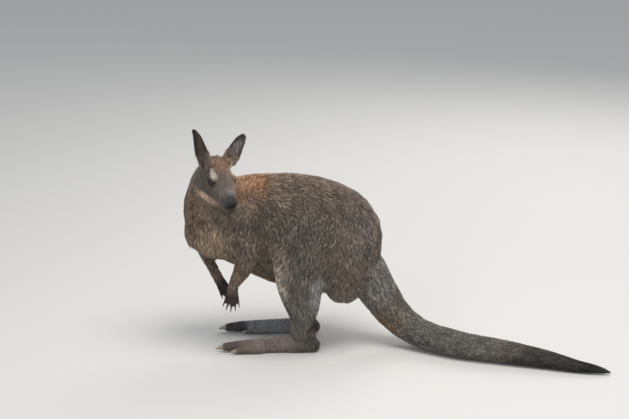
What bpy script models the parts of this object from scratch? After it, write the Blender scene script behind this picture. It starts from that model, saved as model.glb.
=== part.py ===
"""Red-necked wallaby, standing on its hind feet with its tail on the ground and its head turned back.

A still, life-size animal. The body is modelled whole, out to the tips of its coat, and then divided
into the parts that a person would name, 0.3 mm apart. X runs from the chest (-) to the tail (+), the
animal's left side is -Y, and Z is up from the floor.
"""

import math

import bmesh
import bpy
from mathutils import Matrix, Vector

# ---------------------------------------------------------------- driving dimensions, metres
GAP = 0.0003  # between neighbouring parts
TORSO_VOXEL = 0.006
BODY_VOXEL = 0.004
BODY_TRIANGLES = 1700
HEAD_VOXEL = 0.0016
HEAD_TRIANGLES = 1350  # with both ears and the top of the neck
HAND_VOXEL = 0.0011
HAND_TRIANGLES = 300
FOOT_VOXEL = 0.002
FOOT_TRIANGLES = 300
REGION_TRIANGLES = 240  # of the space that the head is cut with
# Rounds of smoothing over the joins
TORSO_SMOOTHING = 14
BODY_SMOOTHING = 8
REGION_SMOOTHING = 6
FOOT_SMOOTHING = 4
HEAD_SMOOTHING = 3
HAND_SMOOTHING = 3

# Trunk: place along the body, sideways offset, top line, belly line, half width
TRUNK = [
    (0.117, 0.000, 0.270, 0.150, 0.062),
    (0.106, 0.000, 0.306, 0.134, 0.082),
    (0.084, 0.000, 0.346, 0.124, 0.102),
    (0.046, 0.000, 0.386, 0.122, 0.116),
    (-0.011, 0.002, 0.410, 0.132, 0.118),
    (-0.081, 0.006, 0.419, 0.150, 0.109),
    (-0.140, 0.010, 0.416, 0.171, 0.096),
    (-0.180, 0.010, 0.408, 0.186, 0.088),
    (-0.218, 0.005, 0.390, 0.198, 0.082),
    (-0.252, -0.002, 0.366, 0.212, 0.074),
    (-0.284, -0.008, 0.346, 0.240, 0.054),
]

# Neck, from inside the chest up to the back of the skull: centre, half width, half depth
NECK = [
    ((-0.224, -0.006, 0.295), 0.072, 0.082),
    ((-0.236, -0.014, 0.345), 0.066, 0.076),
    ((-0.238, -0.024, 0.388), 0.056, 0.060),
    ((-0.236, -0.030, 0.422), 0.045, 0.047),
    ((-0.232, -0.034, 0.440), 0.032, 0.033),
]

# Tail: centre line and radius; it reaches the floor and sweeps to the animal's left
TAIL = [
    ((0.082, 0.000, 0.225), 0.068),
    ((0.122, 0.000, 0.173), 0.056),
    ((0.154, -0.004, 0.125), 0.0475),
    ((0.186, -0.012, 0.081), 0.0420),
    ((0.226, -0.030, 0.048), 0.0375),
    ((0.276, -0.066, 0.0345), 0.0345),
    ((0.347, -0.114, 0.0312), 0.0314),
    ((0.435, -0.148, 0.0280), 0.0282),
    ((0.521, -0.181, 0.0228), 0.0230),
    ((0.604, -0.216, 0.0152), 0.0155),
    ((0.647, -0.228, 0.0112), 0.0110),
    ((0.668, -0.234, 0.0080), 0.0065),
]

# Hind leg, animal's left (the right one mirrors it): centre and half width across the body, with
# the half height of the thigh and the half depth, fore and aft, of the shank
THIGH = [
    ((0.058, -0.066, 0.275), 0.050, 0.085),
    ((0.010, -0.084, 0.262), 0.050, 0.088),
    ((-0.035, -0.096, 0.246), 0.041, 0.066),
    ((-0.066, -0.102, 0.234), 0.032, 0.044),
]
SHANK = [
    ((-0.060, -0.100, 0.232), 0.031, 0.042),
    ((-0.040, -0.091, 0.190), 0.032, 0.054),
    ((-0.031, -0.081, 0.142), 0.030, 0.050),
    ((-0.027, -0.074, 0.104), 0.025, 0.040),
    ((-0.026, -0.071, 0.074), 0.0225, 0.032),
    ((-0.026, -0.070, 0.040), 0.021, 0.031),
]
RUMP_LOBE = ((0.068, -0.058, 0.195), (0.060, 0.056, 0.082))  # centre, radii
FOOT = [
    ((0.000, -0.070, 0.017), 0.0150, 0.018),
    ((-0.030, -0.070, 0.0185), 0.0190, 0.0205),
    ((-0.070, -0.070, 0.0170), 0.0180, 0.0180),
    ((-0.110, -0.070, 0.0160), 0.0190, 0.0172),
    ((-0.145, -0.070, 0.0150), 0.0205, 0.0162),
]
# Toe: root, tip, half width and half height at root and tip; claw length
TOES = {
    "fourth": (
        (-0.135, -0.071, 0.0150), (-0.208, -0.074, 0.0122), (0.0135, 0.0155), (0.0098, 0.0112), 0.024,
    ),
    "fifth": (
        (-0.125, -0.085, 0.0120), (-0.178, -0.093, 0.0098), (0.0100, 0.0122), (0.0070, 0.0086), 0.018,
    ),
    "second": (
        (-0.120, -0.057, 0.0090), (-0.166, -0.053, 0.0070), (0.0060, 0.0080), (0.0045, 0.0055), 0.009,
    ),
}
TOE_ARCH = 0.002
TOE_CLAW_SHARE = 0.50  # half width of a claw, as a share of the toe's half height
TOE_CLAW_LEAD = 0.3  # from a toe's last station to its claw's root, as a share of the same
TOE_CLAW_RISE = 0.001

# Forelimbs: centre, half width across, half depth
ARM_LEFT = [
    ((-0.166, -0.068, 0.325), 0.038, 0.048),
    ((-0.160, -0.080, 0.280), 0.033, 0.040),
    ((-0.156, -0.088, 0.245), 0.027, 0.034),
    ((-0.166, -0.094, 0.214), 0.021, 0.025),
    ((-0.180, -0.099, 0.190), 0.0145, 0.0165),
    ((-0.189, -0.103, 0.170), 0.0110, 0.0125),
    ((-0.191, -0.105, 0.152), 0.0085, 0.0135),
]
ARM_RIGHT = [
    ((-0.236, 0.036, 0.315), 0.036, 0.045),
    ((-0.252, 0.036, 0.275), 0.031, 0.037),
    ((-0.260, 0.032, 0.238), 0.025, 0.028),
    ((-0.254, 0.024, 0.209), 0.018, 0.020),
    ((-0.243, 0.012, 0.184), 0.0125, 0.0140),
    ((-0.230, -0.001, 0.162), 0.0105, 0.0120),
    ((-0.220, -0.009, 0.148), 0.0085, 0.0130),
]
FINGER_LENGTHS = (0.022, 0.028, 0.030, 0.027, 0.020)
FINGER_RADIUS = 0.0036
FINGER_TAPER = ((1.3, 1.3), (1.0, 1.0), (0.85, 0.90))  # widths and depths at root, middle and tip
FINGER_ARCH = 0.001
CLAW_LEAD = 0.001  # from the end of a finger's bone to the middle of its claw's root
FINGER_CLAW = 0.013
FINGER_CLAW_SHARE = 0.52  # half width of a claw, as a share of the finger's
FINGER_FAN = 0.62  # fore and aft share of the outer fingers' direction
FINGER_CUP = 0.2  # inward share of the same
PALM_WIDTH = 0.020
PALM_CUP = 0.006  # how far inwards the outer fingers' roots lie
CLAW_BEND = 0.22
CLAW_TAPER = ((0.0, 1.0), (0.3, 0.86), (0.6, 0.60), (0.9, 0.22))  # place along it, share of its width
CLAW_DEPTH = 1.2  # depth of a claw, in widths

# Head frame: the point midway between the eyes, the way it faces, and its tilts, degrees
EYE_MID = Vector((-0.2135, -0.070, 0.4165))
HEAD_YAW = 32.0  # from -Y towards +X
HEAD_PITCH = 39.0  # nose down
HEAD_ROLL = 5.0  # left side down

# Head, back to front: place on its axis, height of centre, half width, half height
HEAD = [
    (-0.048, -0.0110, 0.0260, 0.0270),
    (-0.036, -0.0110, 0.0335, 0.0365),
    (-0.020, -0.0115, 0.0355, 0.0395),
    (-0.002, -0.0125, 0.0340, 0.0375),
    (0.016, -0.0135, 0.0290, 0.0325),
    (0.034, -0.0135, 0.0235, 0.0260),
    (0.048, -0.0130, 0.0205, 0.0225),
    (0.060, -0.0130, 0.0178, 0.0188),
]
# Rounded forms of the face, paired where off the middle: place, distance from the middle, height, radii
HEAD_FORMS = {
    "cheek": ((-0.010, 0.0200, -0.0240), (0.026, 0.0150, 0.0220)),
    "brow": ((-0.004, 0.0205, 0.0120), (0.017, 0.0095, 0.0075)),
    "lip": ((0.050, 0.0115, -0.0175), (0.018, 0.0110, 0.0115)),
    "nose": ((0.066, 0.0000, -0.0055), (0.007, 0.0110, 0.0075)),
    "chin": ((0.042, 0.0000, -0.0320), (0.020, 0.0125, 0.0070)),
    "crown": ((-0.036, 0.0000, 0.0190), (0.022, 0.0230, 0.0100)),
    "ear_base": ((-0.038, 0.0235, 0.0170), (0.014, 0.0130, 0.0150)),
}
EYE_PLACE = (0.0, 0.0250, 0.0005)
EYE_RADIUS = 0.0098

EAR_LENGTH = {1: 0.092, -1: 0.097}  # left and right ear, from the root inside the head
EAR_HALF_WIDTHS = (0.0125, 0.0162, 0.0182, 0.0180, 0.0164, 0.0134, 0.0066)  # root to tip
EAR_THICKNESS = 0.0032
EAR_ROWS = 14
EAR_COLUMNS = 10
EAR_ROLL = 150.0  # half of the arc that the ear's sheet is rolled through at its root, degrees
EAR_UNROLL = 112.0  # how much of that is gone at the tip
EAR_UNROLL_POWER = 0.7
EAR_HOLLOW = 0.35  # place of the sheet's axis before the ear's own line, in radii
EAR_ROOT = {1: (-0.033, 0.0150, 0.012), -1: (-0.033, -0.0268, 0.012)}  # in the head frame
EAR_SPREAD = {1: 42.0, -1: 27.0}  # outwards from straight up, degrees: left ear, right ear
EAR_FACES = {1: (0.66, -0.44), -1: (0.20, 0.95)}  # forward and outward shares of the hollow's direction
EAR_JOIN = 0.020  # from the root to the line where the ear leaves the head
HEAD_MARGIN = 0.006  # how far the head's own fur reaches past its loft

UP = Vector((0.0, 0.0, 1.0))
AFT = Vector((1.0, 0.0, 0.0))
SIDEWAYS = Vector((0.0, 1.0, 0.0))

# Where the body is divided
TAIL_CUTS = {5: 9.2, 4: 7.7, 3: 6.4, 2: 4.6, 1: 1.6}  # stations down the tail, the tip first
TAIL_SPACE = ((0.10, 0.10), 0.26)  # half sides and depth of the space that each cut takes away
FOREARM_SPACE = ((0.036, 0.034), 0.12)
HAND_SPACE = ((0.045, 0.045), 0.090)
FOOT_SPACE = ((0.150, 0.045), 0.080)
SHANK_SPACE = ((0.066, 0.055), 0.20)
NECK_SPACE = ((0.075, 0.12), 0.12)
TRUNK_SPACE = ((0.3, 0.3), 0.3)
CUT_STEP = 0.02  # share of a limb over which its direction is taken at a cut
EAR_SPACE = (0.030, 0.030)
EAR_STUB = 0.030  # radius of the head's space round each ear root
EAR_STUB_PLACE = 0.6  # its middle, as a share of the way to the ear's join
HEAD_HOLLOW = 1.3  # width of the joint round the head, in gaps
ANKLE_HEIGHT = 0.052
ANKLE_CUT = (-0.110, -0.070, ANKLE_HEIGHT)
SHANK_TOP = (-0.032, -0.085, 0.160)
SHANK_TILT = math.radians(30.0)  # its front edge is the higher one
THIGH_CENTRE = (-0.005, -0.150, 0.235)
THIGH_RADII = (0.115, 0.085, 0.118)
SHOULDERS = {
    "left": ((-0.158, -0.118, 0.285), (0.044, 0.052, 0.062)),
    "right": ((-0.258, 0.070, 0.275), (0.044, 0.048, 0.060)),
}
NECK_CUT = ((-0.178, -0.015, 0.412), (-0.306, -0.015, 0.335))  # nape, front of the chest
ELBOWS = {"left": 2.5, "right": 2.7}  # stations down the forelimb
RUMP_CUT = (0.060, 0.0, 0.25)
CHEST_CUT = (-0.120, 0.0, 0.30)

# Coats by the start of a part's name, and their colours
COAT_OF = {
    "claw": "claw", "eye": "eye", "ear": "dark", "hand": "dark", "foot": "grey", "tail": "grey",
    "shank": "grey", "neck": "rufous", "forearm": "rufous",
}
COLOURS = {
    "body": (0.190, 0.150, 0.118),
    "rufous": (0.290, 0.150, 0.085),
    "grey": (0.240, 0.225, 0.205),
    "dark": (0.050, 0.040, 0.035),
    "eye": (0.012, 0.009, 0.008),
    "claw": (0.260, 0.220, 0.180),
}
ROUGHNESS = {"eye": 0.15, "claw": 0.45}
COAT_ROUGHNESS = 0.85
SHARP_ANGLE = math.radians(50.0)


# ---------------------------------------------------------------- scene and materials
def clear_scene():
    for old in list(bpy.data.objects):
        bpy.data.objects.remove(old, do_unlink=True)


def new_collection(name):
    group = bpy.data.collections.new(name)
    bpy.context.scene.collection.children.link(group)
    return group


def new_material(name, colour, roughness):
    material = bpy.data.materials.new(name)
    material.use_nodes = True
    shader = material.node_tree.nodes["Principled BSDF"]
    shader.inputs["Base Color"].default_value = (*colour, 1.0)
    shader.inputs["Roughness"].default_value = roughness
    shader.inputs["Metallic"].default_value = 0.0
    material.diffuse_color = (*colour, 1.0)
    return material


def new_object(name, mesh, group):
    made = bpy.data.objects.new(name, mesh)
    group.objects.link(made)
    return made


# ---------------------------------------------------------------- curves and lofts
def spline(values, t):
    """The value at t (0 to 1) on a Catmull-Rom curve through values, floats or vectors."""
    spans = len(values) - 1
    span = min(int(t * spans), spans - 1)
    u = t * spans - span
    before = values[span - 1] if span > 0 else values[0] * 2.0 - values[1]
    start = values[span]
    end = values[span + 1]
    after = values[span + 2] if span + 2 <= spans else values[spans] * 2.0 - values[spans - 1]
    return 0.5 * (
        start * 2.0
        + (end - before) * u
        + (before * 2.0 - start * 5.0 + end * 4.0 - after) * u**2
        + (start * 3.0 - before - end * 3.0 + after) * u**3
    )


def ring(centre, across, along, half_width, half_height, sides):
    """Points of an ellipse with its axes along across and along."""
    points = []
    for k in range(sides):
        angle = math.tau * k / sides
        points.append(centre + across * half_width * math.cos(angle) + along * half_height * math.sin(angle))
    return points


def skin_rings(rings, first_pole, last_pole):
    """A closed mesh over a row of rings, with a point beyond each end."""
    shape = bmesh.new()
    rows = [[shape.verts.new(point) for point in points] for points in rings]
    sides = len(rings[0])
    for low, high in zip(rows, rows[1:]):
        for k in range(sides):
            shape.faces.new((low[k], low[(k + 1) % sides], high[(k + 1) % sides], high[k]))
    start = shape.verts.new(first_pole)
    end = shape.verts.new(last_pole)
    for k in range(sides):
        shape.faces.new((start, rows[0][(k + 1) % sides], rows[0][k]))
        shape.faces.new((end, rows[-1][k], rows[-1][(k + 1) % sides]))
    bmesh.ops.recalc_face_normals(shape, faces=shape.faces)
    mesh = bpy.data.meshes.new("loft")
    shape.to_mesh(mesh)
    shape.free()
    return mesh


def loft(stations, upward, sides=24, steps=5, grow=0.0, cap_reach=1.0, cap_rings=3):
    """A closed tube through stations of centre, half width and half height, with rounded ends.

    The width lies square to the path and to upward, the height square to both. An end reaches past
    its last station by cap_reach times the smaller of its half sizes.
    """
    centres = [Vector(station[0]) for station in stations]
    widths = [station[1] + grow for station in stations]
    heights = [station[2] + grow for station in stations]
    count = (len(stations) - 1) * steps
    frames = []
    for k in range(count + 1):
        t = k / count
        centre = spline(centres, t)
        before = spline(centres, max(t - 0.01, 0.0))
        after = spline(centres, min(t + 0.01, 1.0))
        direction = (after - before).normalized()
        across = direction.cross(upward).normalized()
        along = across.cross(direction).normalized()
        frames.append((centre, direction, across, along, spline(widths, t), spline(heights, t)))
    poles = []
    for end, sign in ((frames[0], -1.0), (frames[-1], 1.0)):
        centre, direction, across, along, width, height = end
        reach = min(width, height) * cap_reach
        cap = []
        for k in range(1, cap_rings + 1):
            angle = math.pi / 2 * k / (cap_rings + 1)
            place = centre + direction * sign * reach * math.sin(angle)
            cap.append(ring(place, across, along, width * math.cos(angle), height * math.cos(angle), sides))
        poles.append((cap, centre + direction * sign * reach))
    middle = [ring(c, across, along, w, h, sides) for c, _, across, along, w, h in frames]
    rings = poles[0][0][::-1] + middle + poles[1][0]
    return skin_rings(rings, poles[0][1], poles[1][1])


def ellipsoid(centre, radii, turn=None, grow=0.0, segments=12, rows=8):
    """A ball of three radii, turned by a 3x3 matrix."""
    shape = bmesh.new()
    bmesh.ops.create_uvsphere(shape, u_segments=segments, v_segments=rows, radius=1.0)
    size = Matrix.Diagonal((*(radius + grow for radius in radii), 1.0))
    place = Matrix.Translation(Vector(centre))
    if turn:
        place = place @ turn.to_4x4()
    bmesh.ops.transform(shape, matrix=place @ size, verts=shape.verts)
    mesh = bpy.data.meshes.new("ball")
    shape.to_mesh(mesh)
    shape.free()
    return mesh


def block(near_face, outward, sideways, half_sides, depth, grow=0.0):
    """A box: the middle of one face, the way into the box, a way along the face, and its sizes."""
    outward = Vector(outward).normalized()
    sideways = Vector(sideways)
    sideways = (sideways - outward * sideways.dot(outward)).normalized()
    third = outward.cross(sideways)
    shape = bmesh.new()
    bmesh.ops.create_cube(shape, size=2.0)
    size = Matrix.Diagonal((half_sides[0] + grow, half_sides[1] + grow, depth / 2 + grow, 1.0))
    turn = Matrix((sideways, third, outward)).transposed().to_4x4()
    place = Matrix.Translation(Vector(near_face) + outward * depth / 2)
    bmesh.ops.transform(shape, matrix=place @ turn @ size, verts=shape.verts)
    mesh = bpy.data.meshes.new("block")
    shape.to_mesh(mesh)
    shape.free()
    return mesh


# ---------------------------------------------------------------- mesh operations
def evaluated_mesh(thing):
    bpy.context.view_layer.update()
    graph = bpy.context.evaluated_depsgraph_get()
    return bpy.data.meshes.new_from_object(thing.evaluated_get(graph))


def settle(thing):
    """Replaces an object's mesh by what its modifiers make of it."""
    mesh = evaluated_mesh(thing)
    thing.modifiers.clear()
    thing.data = mesh


def fuse(name, meshes, voxel, smooth_steps, triangles, group):
    """One closed surface round overlapping meshes, smoothed, and thinned if a triangle count is given."""
    shape = bmesh.new()
    for mesh in meshes:
        shape.from_mesh(mesh)
    joined = bpy.data.meshes.new(name)
    shape.to_mesh(joined)
    shape.free()
    thing = new_object(name, joined, group)
    remesh = thing.modifiers.new("One surface", "REMESH")
    remesh.mode = "VOXEL"
    remesh.voxel_size = voxel
    smooth = thing.modifiers.new("Soft joins", "SMOOTH")
    smooth.factor = 0.5
    smooth.iterations = smooth_steps
    settle(thing)
    if triangles is None:
        return thing
    thin = thing.modifiers.new("Fewer faces", "DECIMATE")
    thin.ratio = min(1.0, triangles / (2 * len(thing.data.polygons)))
    thin.use_collapse_triangulate = True
    settle(thing)
    return thing


def boolean(thing, tool_mesh, operation):
    """Cuts an object with a mesh, or keeps what the two share."""
    tool = new_object("tool", tool_mesh, bpy.context.scene.collection)
    cut = thing.modifiers.new("Cut", "BOOLEAN")
    cut.operation = operation
    cut.solver = "EXACT"
    cut.object = tool
    settle(thing)
    bpy.data.objects.remove(tool, do_unlink=True)


def copy_of(thing, name):
    made = thing.copy()
    made.data = thing.data.copy()
    made.name = name
    thing.users_collection[0].objects.link(made)
    return made


def largest_piece(thing):
    """Keeps the largest connected piece of a mesh."""
    shape = bmesh.new()
    shape.from_mesh(thing.data)
    bmesh.ops.dissolve_degenerate(shape, dist=1e-6, edges=shape.edges)
    unseen = set(shape.verts)
    islands = []
    while unseen:
        island = set()
        queue = [unseen.pop()]
        while queue:
            vertex = queue.pop()
            island.add(vertex)
            for edge in vertex.link_edges:
                other = edge.other_vert(vertex)
                if other in unseen:
                    unseen.remove(other)
                    queue.append(other)
        islands.append(island)
    islands.sort(key=len)
    for island in islands[:-1]:
        bmesh.ops.delete(shape, geom=list(island), context="VERTS")
    shape.to_mesh(thing.data)
    shape.free()


def carve(rest, name, region):
    """Takes the part inside region(0) out of rest, which keeps what is outside region(GAP)."""
    piece = copy_of(rest, name)
    boolean(piece, region(0.0), "INTERSECT")
    largest_piece(piece)
    boolean(rest, region(GAP), "DIFFERENCE")
    return piece


# ---------------------------------------------------------------- head
def head_axes():
    """The head's forward, left and up directions."""
    yaw = math.radians(HEAD_YAW)
    pitch = math.radians(HEAD_PITCH)
    roll = math.radians(HEAD_ROLL)
    level = Vector((math.sin(yaw), -math.cos(yaw), 0.0))
    forward = level * math.cos(pitch) + Vector((0.0, 0.0, -math.sin(pitch)))
    left = Vector((math.cos(yaw), math.sin(yaw), 0.0))
    up = forward.cross(left)
    rolled_left = left * math.cos(roll) - up * math.sin(roll)
    rolled_up = up * math.cos(roll) + left * math.sin(roll)
    return forward, rolled_left, rolled_up


FORWARD, LEFTWARD, UPWARD = head_axes()
HEAD_TURN = Matrix((FORWARD, LEFTWARD, UPWARD)).transposed()


def on_head(place, side, height):
    return EYE_MID + FORWARD * place + LEFTWARD * side + UPWARD * height


def head_loft(grow=0.0):
    stations = [(on_head(place, 0.0, height), wide, tall) for place, height, wide, tall in HEAD]
    return loft(stations, UPWARD, sides=28, grow=grow, cap_reach=0.7)


def head_forms():
    meshes = []
    for (place, side, height), radii in HEAD_FORMS.values():
        for sign in (-1, 1) if side else (1,):
            meshes.append(ellipsoid(on_head(place, sign * side, height), radii, HEAD_TURN))
    return meshes


def ear_axes(sign):
    """The directions of an ear: along it, the way its hollow faces, and across it."""
    spread = math.radians(EAR_SPREAD[sign])
    straight_up = (UPWARD - FORWARD).normalized()
    along = straight_up * math.cos(spread) + LEFTWARD * sign * math.sin(spread)
    ahead, outward = EAR_FACES[sign]
    hollow = FORWARD * ahead + LEFTWARD * sign * outward
    hollow = (hollow - along * hollow.dot(along)).normalized()
    return along, hollow, along.cross(hollow)


def ear_root(sign):
    return on_head(*EAR_ROOT[sign])


def ear(sign, group):
    """A scooped leaf: a sheet rolled at its root and opening towards its tip, given a thickness."""
    along, hollow, across = ear_axes(sign)
    root = ear_root(sign)
    shape = bmesh.new()
    grid = []
    for i in range(EAR_ROWS + 1):
        t = i / EAR_ROWS
        half = spline(EAR_HALF_WIDTHS, t)
        roll = math.radians(EAR_ROLL - EAR_UNROLL * t**EAR_UNROLL_POWER)
        radius = half / math.sin(min(roll, math.pi / 2))
        row = []
        for j in range(EAR_COLUMNS + 1):
            angle = roll * (2 * j / EAR_COLUMNS - 1)
            place = root + along * EAR_LENGTH[sign] * t + across * radius * math.sin(angle)
            place += hollow * radius * (EAR_HOLLOW - math.cos(angle))
            row.append(shape.verts.new(place))
        grid.append(row)
    for low, high in zip(grid, grid[1:]):
        for j in range(EAR_COLUMNS):
            shape.faces.new((low[j], low[j + 1], high[j + 1], high[j]))
    mesh = bpy.data.meshes.new("ear")
    shape.to_mesh(mesh)
    shape.free()
    thing = new_object("ear", mesh, group)
    wall = thing.modifiers.new("Wall", "SOLIDIFY")
    wall.thickness = EAR_THICKNESS
    wall.offset = 0.0
    settle(thing)
    mesh = thing.data
    bpy.data.objects.remove(thing, do_unlink=True)
    return mesh


def ear_region(sign):
    """The space of an ear beyond the line where it leaves the head."""
    along, _, across = ear_axes(sign)
    near_face = ear_root(sign) + along * EAR_JOIN
    return lambda grow: block(near_face, along, across, EAR_SPACE, EAR_LENGTH[sign], grow)


# ---------------------------------------------------------------- limbs
def on_side(point, sign):
    """A point of the left side (sign -1), or its mirror place on the right (sign 1)."""
    return Vector((point[0], -sign * point[1], point[2]))


def limb(stations, sign, upward, **options):
    return loft([(on_side(centre, sign), wide, tall) for centre, wide, tall in stations], upward, **options)


def claw(root, way, length, radius, hook, grow=0.0):
    """A cone of horn from its root, in the direction of way, that bends towards hook."""
    stations = []
    for t, share in CLAW_TAPER:
        place = root + way * length * t + hook * length * CLAW_BEND * t**2
        stations.append((place, radius * share + grow, radius * share * CLAW_DEPTH + grow))
    return loft(stations, hook, sides=6, steps=1, cap_rings=1)


def hand(arm, sign):
    """The meshes of a hand with the end of its forelimb, and the arguments of its claws."""
    wrist = Vector(arm[-2][0])
    palm = Vector(arm[-1][0])
    down = (palm - wrist).normalized()
    across = AFT - down * AFT.dot(down)
    meshes = [loft(arm[-4:], AFT)]
    claws = []
    for k, length in enumerate(FINGER_LENGTHS):
        spread = k / (len(FINGER_LENGTHS) - 1) - 0.5
        inward = -SIDEWAYS * sign * abs(spread)
        way = (down + across * FINGER_FAN * spread + inward * FINGER_CUP).normalized()
        root = palm + across * PALM_WIDTH * spread + inward * PALM_CUP
        middle = root + way * length / 2 + SIDEWAYS * sign * FINGER_ARCH
        tip = root + way * length
        joints = []
        for place, (wide, tall) in zip((root, middle, tip), FINGER_TAPER):
            joints.append((place, FINGER_RADIUS * wide, FINGER_RADIUS * tall))
        meshes.append(loft(joints, AFT, sides=10, steps=3))
        claw_root = tip + way * CLAW_LEAD
        claws.append((claw_root, way, FINGER_CLAW, FINGER_RADIUS * FINGER_CLAW_SHARE, SIDEWAYS * sign))
    return meshes, claws


def foot(sign):
    """The meshes of a hind foot with the end of its shank, and the arguments of its claws."""
    meshes = [limb(FOOT, sign, UP), limb(SHANK[-3:], sign, AFT)]
    claws = []
    for root, tip, (root_wide, root_tall), (tip_wide, tip_tall), length in TOES.values():
        root = on_side(root, sign)
        tip = on_side(tip, sign)
        middle = (root + tip) / 2 + UP * TOE_ARCH
        joints = [
            (root, root_wide, root_tall),
            (middle, (root_wide + tip_wide) / 2, (root_tall + tip_tall) / 2),
            (tip, tip_wide, tip_tall),
        ]
        meshes.append(loft(joints, UP, sides=16, steps=4))
        way = (tip - root).normalized()
        claw_root = tip + way * tip_tall * TOE_CLAW_LEAD + UP * TOE_CLAW_RISE
        claws.append((claw_root, way, length, tip_tall * TOE_CLAW_SHARE, -UP))
    return meshes, claws


# ---------------------------------------------------------------- the parts
SIDES = (("left", -1), ("right", 1))
ARMS = {"left": ARM_LEFT, "right": ARM_RIGHT}


def under_floor():
    return block((0.2, 0.0, 0.0), -UP, AFT, (1.0, 1.0), 0.2)


def torso(group):
    """Trunk, neck, haunches and the root of the tail, well smoothed into one another."""
    trunk = [((x, y, (top + low) / 2), wide, (top - low) / 2) for x, y, top, low, wide in TRUNK]
    tail = [(centre, radius, radius) for centre, radius in TAIL]
    meshes = [loft(trunk, UP, sides=32, cap_reach=0.45), loft(NECK, AFT, sides=28), loft(tail[:4], UP)]
    for side, sign in SIDES:
        lobe, radii = RUMP_LOBE
        meshes += [limb(THIGH, sign, UP), ellipsoid(on_side(lobe, sign), radii), loft(ARMS[side][:3], AFT)]
    made = fuse("torso", meshes, TORSO_VOXEL, TORSO_SMOOTHING, None, group)
    mesh = made.data
    bpy.data.objects.remove(made, do_unlink=True)
    return mesh


def whole_body(group):
    """The torso, tail and limbs in one surface, with the places of the head, hands and feet."""
    meshes = [torso(group), loft([(centre, radius, radius) for centre, radius in TAIL], UP), head_loft()]
    for side, sign in SIDES:
        meshes += [limb(SHANK, sign, AFT), limb(FOOT, sign, UP), loft(ARMS[side], AFT)]
    body = fuse("trunk", meshes, BODY_VOXEL, BODY_SMOOTHING, BODY_TRIANGLES, group)
    boolean(body, under_floor(), "DIFFERENCE")
    return body


def head_region(group):
    """The space of the head and the roots of its ears, as a mesh that can be grown a little."""
    stubs = []
    for sign in (-1, 1):
        along = ear_axes(sign)[0]
        root = ear_root(sign)
        stubs.append(ellipsoid(root + along * EAR_JOIN * EAR_STUB_PLACE, (EAR_STUB,) * 3))
    meshes = [head_loft(HEAD_MARGIN), *stubs]
    made = fuse("region", meshes, BODY_VOXEL, REGION_SMOOTHING, REGION_TRIANGLES, group)
    mesh = made.data
    bpy.data.objects.remove(made, do_unlink=True)
    return mesh


def grown(mesh, distance):
    """A copy of a mesh with each point moved out along its normal."""
    made = mesh.copy()
    for vertex, source in zip(made.vertices, mesh.vertices):
        vertex.co = source.co + source.normal * distance
    return made


def make_head(body, group):
    """The head with its ears and eyes; the body keeps the hollow that the head sits in."""
    region = head_region(group)
    ears = [ear(sign, group) for _, sign in SIDES]
    meshes = [head_loft(), loft(NECK, AFT, sides=28), *head_forms(), *ears]
    head = fuse("head", meshes, HEAD_VOXEL, HEAD_SMOOTHING, HEAD_TRIANGLES, group)
    # the animal's left is -Y on its body, and +1 along the head's own leftward axis
    for side, sign in (("left", 1), ("right", -1)):
        carve(head, f"ear_{side}", ear_region(sign))
    boolean(head, region.copy(), "INTERSECT")
    largest_piece(head)
    boolean(body, grown(region, GAP * HEAD_HOLLOW), "DIFFERENCE")
    ball = (EYE_RADIUS,) * 3
    place, out, height = EYE_PLACE
    for side, sign in (("left", 1), ("right", -1)):
        centre = on_head(place, sign * out, height)
        boolean(head, ellipsoid(centre, ball, HEAD_TURN, GAP), "DIFFERENCE")
        new_object(f"eye_{side}", ellipsoid(centre, ball, HEAD_TURN), group)


def add_claws(prefix, flesh, claws, group):
    """Claws, each in a socket of the flesh that it grows from."""
    for number, (root, way, length, radius, hook) in enumerate(claws, start=1):
        boolean(flesh, claw(root, way, length, radius, hook, GAP), "DIFFERENCE")
        new_object(f"{prefix}_{number}", claw(root, way, length, radius, hook), group)


def make_hand(body, side, sign, group):
    """A hand beyond the wrist, with its claws, and the wrist's face on the body."""
    arm = ARMS[side]
    meshes, claws = hand(arm, sign)
    made = fuse(f"hand_{side}", meshes, HAND_VOXEL, HAND_SMOOTHING, HAND_TRIANGLES, group)
    wrist = Vector(arm[-2][0])
    down = (Vector(arm[-1][0]) - wrist).normalized()

    def below(grow):
        return block(wrist, down, AFT, *HAND_SPACE, grow)

    boolean(made, below(0.0), "INTERSECT")
    largest_piece(made)
    boolean(body, below(GAP), "DIFFERENCE")
    add_claws(f"claw_hand_{side}", made, claws, group)


def make_foot(body, side, sign, group):
    """A hind foot below the ankle, flat on the floor, with its claws."""
    meshes, claws = foot(sign)
    made = fuse(f"foot_{side}", meshes, FOOT_VOXEL, FOOT_SMOOTHING, FOOT_TRIANGLES, group)
    boolean(made, under_floor(), "DIFFERENCE")

    def below(grow):
        return block(on_side(ANKLE_CUT, sign), -UP, AFT, *FOOT_SPACE, grow)

    boolean(made, below(0.0), "INTERSECT")
    largest_piece(made)
    boolean(body, below(GAP), "DIFFERENCE")
    add_claws(f"claw_foot_{side}", made, claws, group)


def across_limb(stations, sign, place, half_sides, depth):
    """The space past a plane square to a limb, at a place given in whole and part stations."""
    centres = [on_side(station[0], sign) for station in stations]
    spans = len(stations) - 1
    here = spline(centres, place / spans)
    ahead = spline(centres, min(place / spans + CUT_STEP, 1.0))
    behind = spline(centres, place / spans - CUT_STEP)
    way = (ahead - behind).normalized()
    return lambda grow: block(here, way, SIDEWAYS, half_sides, depth, grow)


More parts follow.
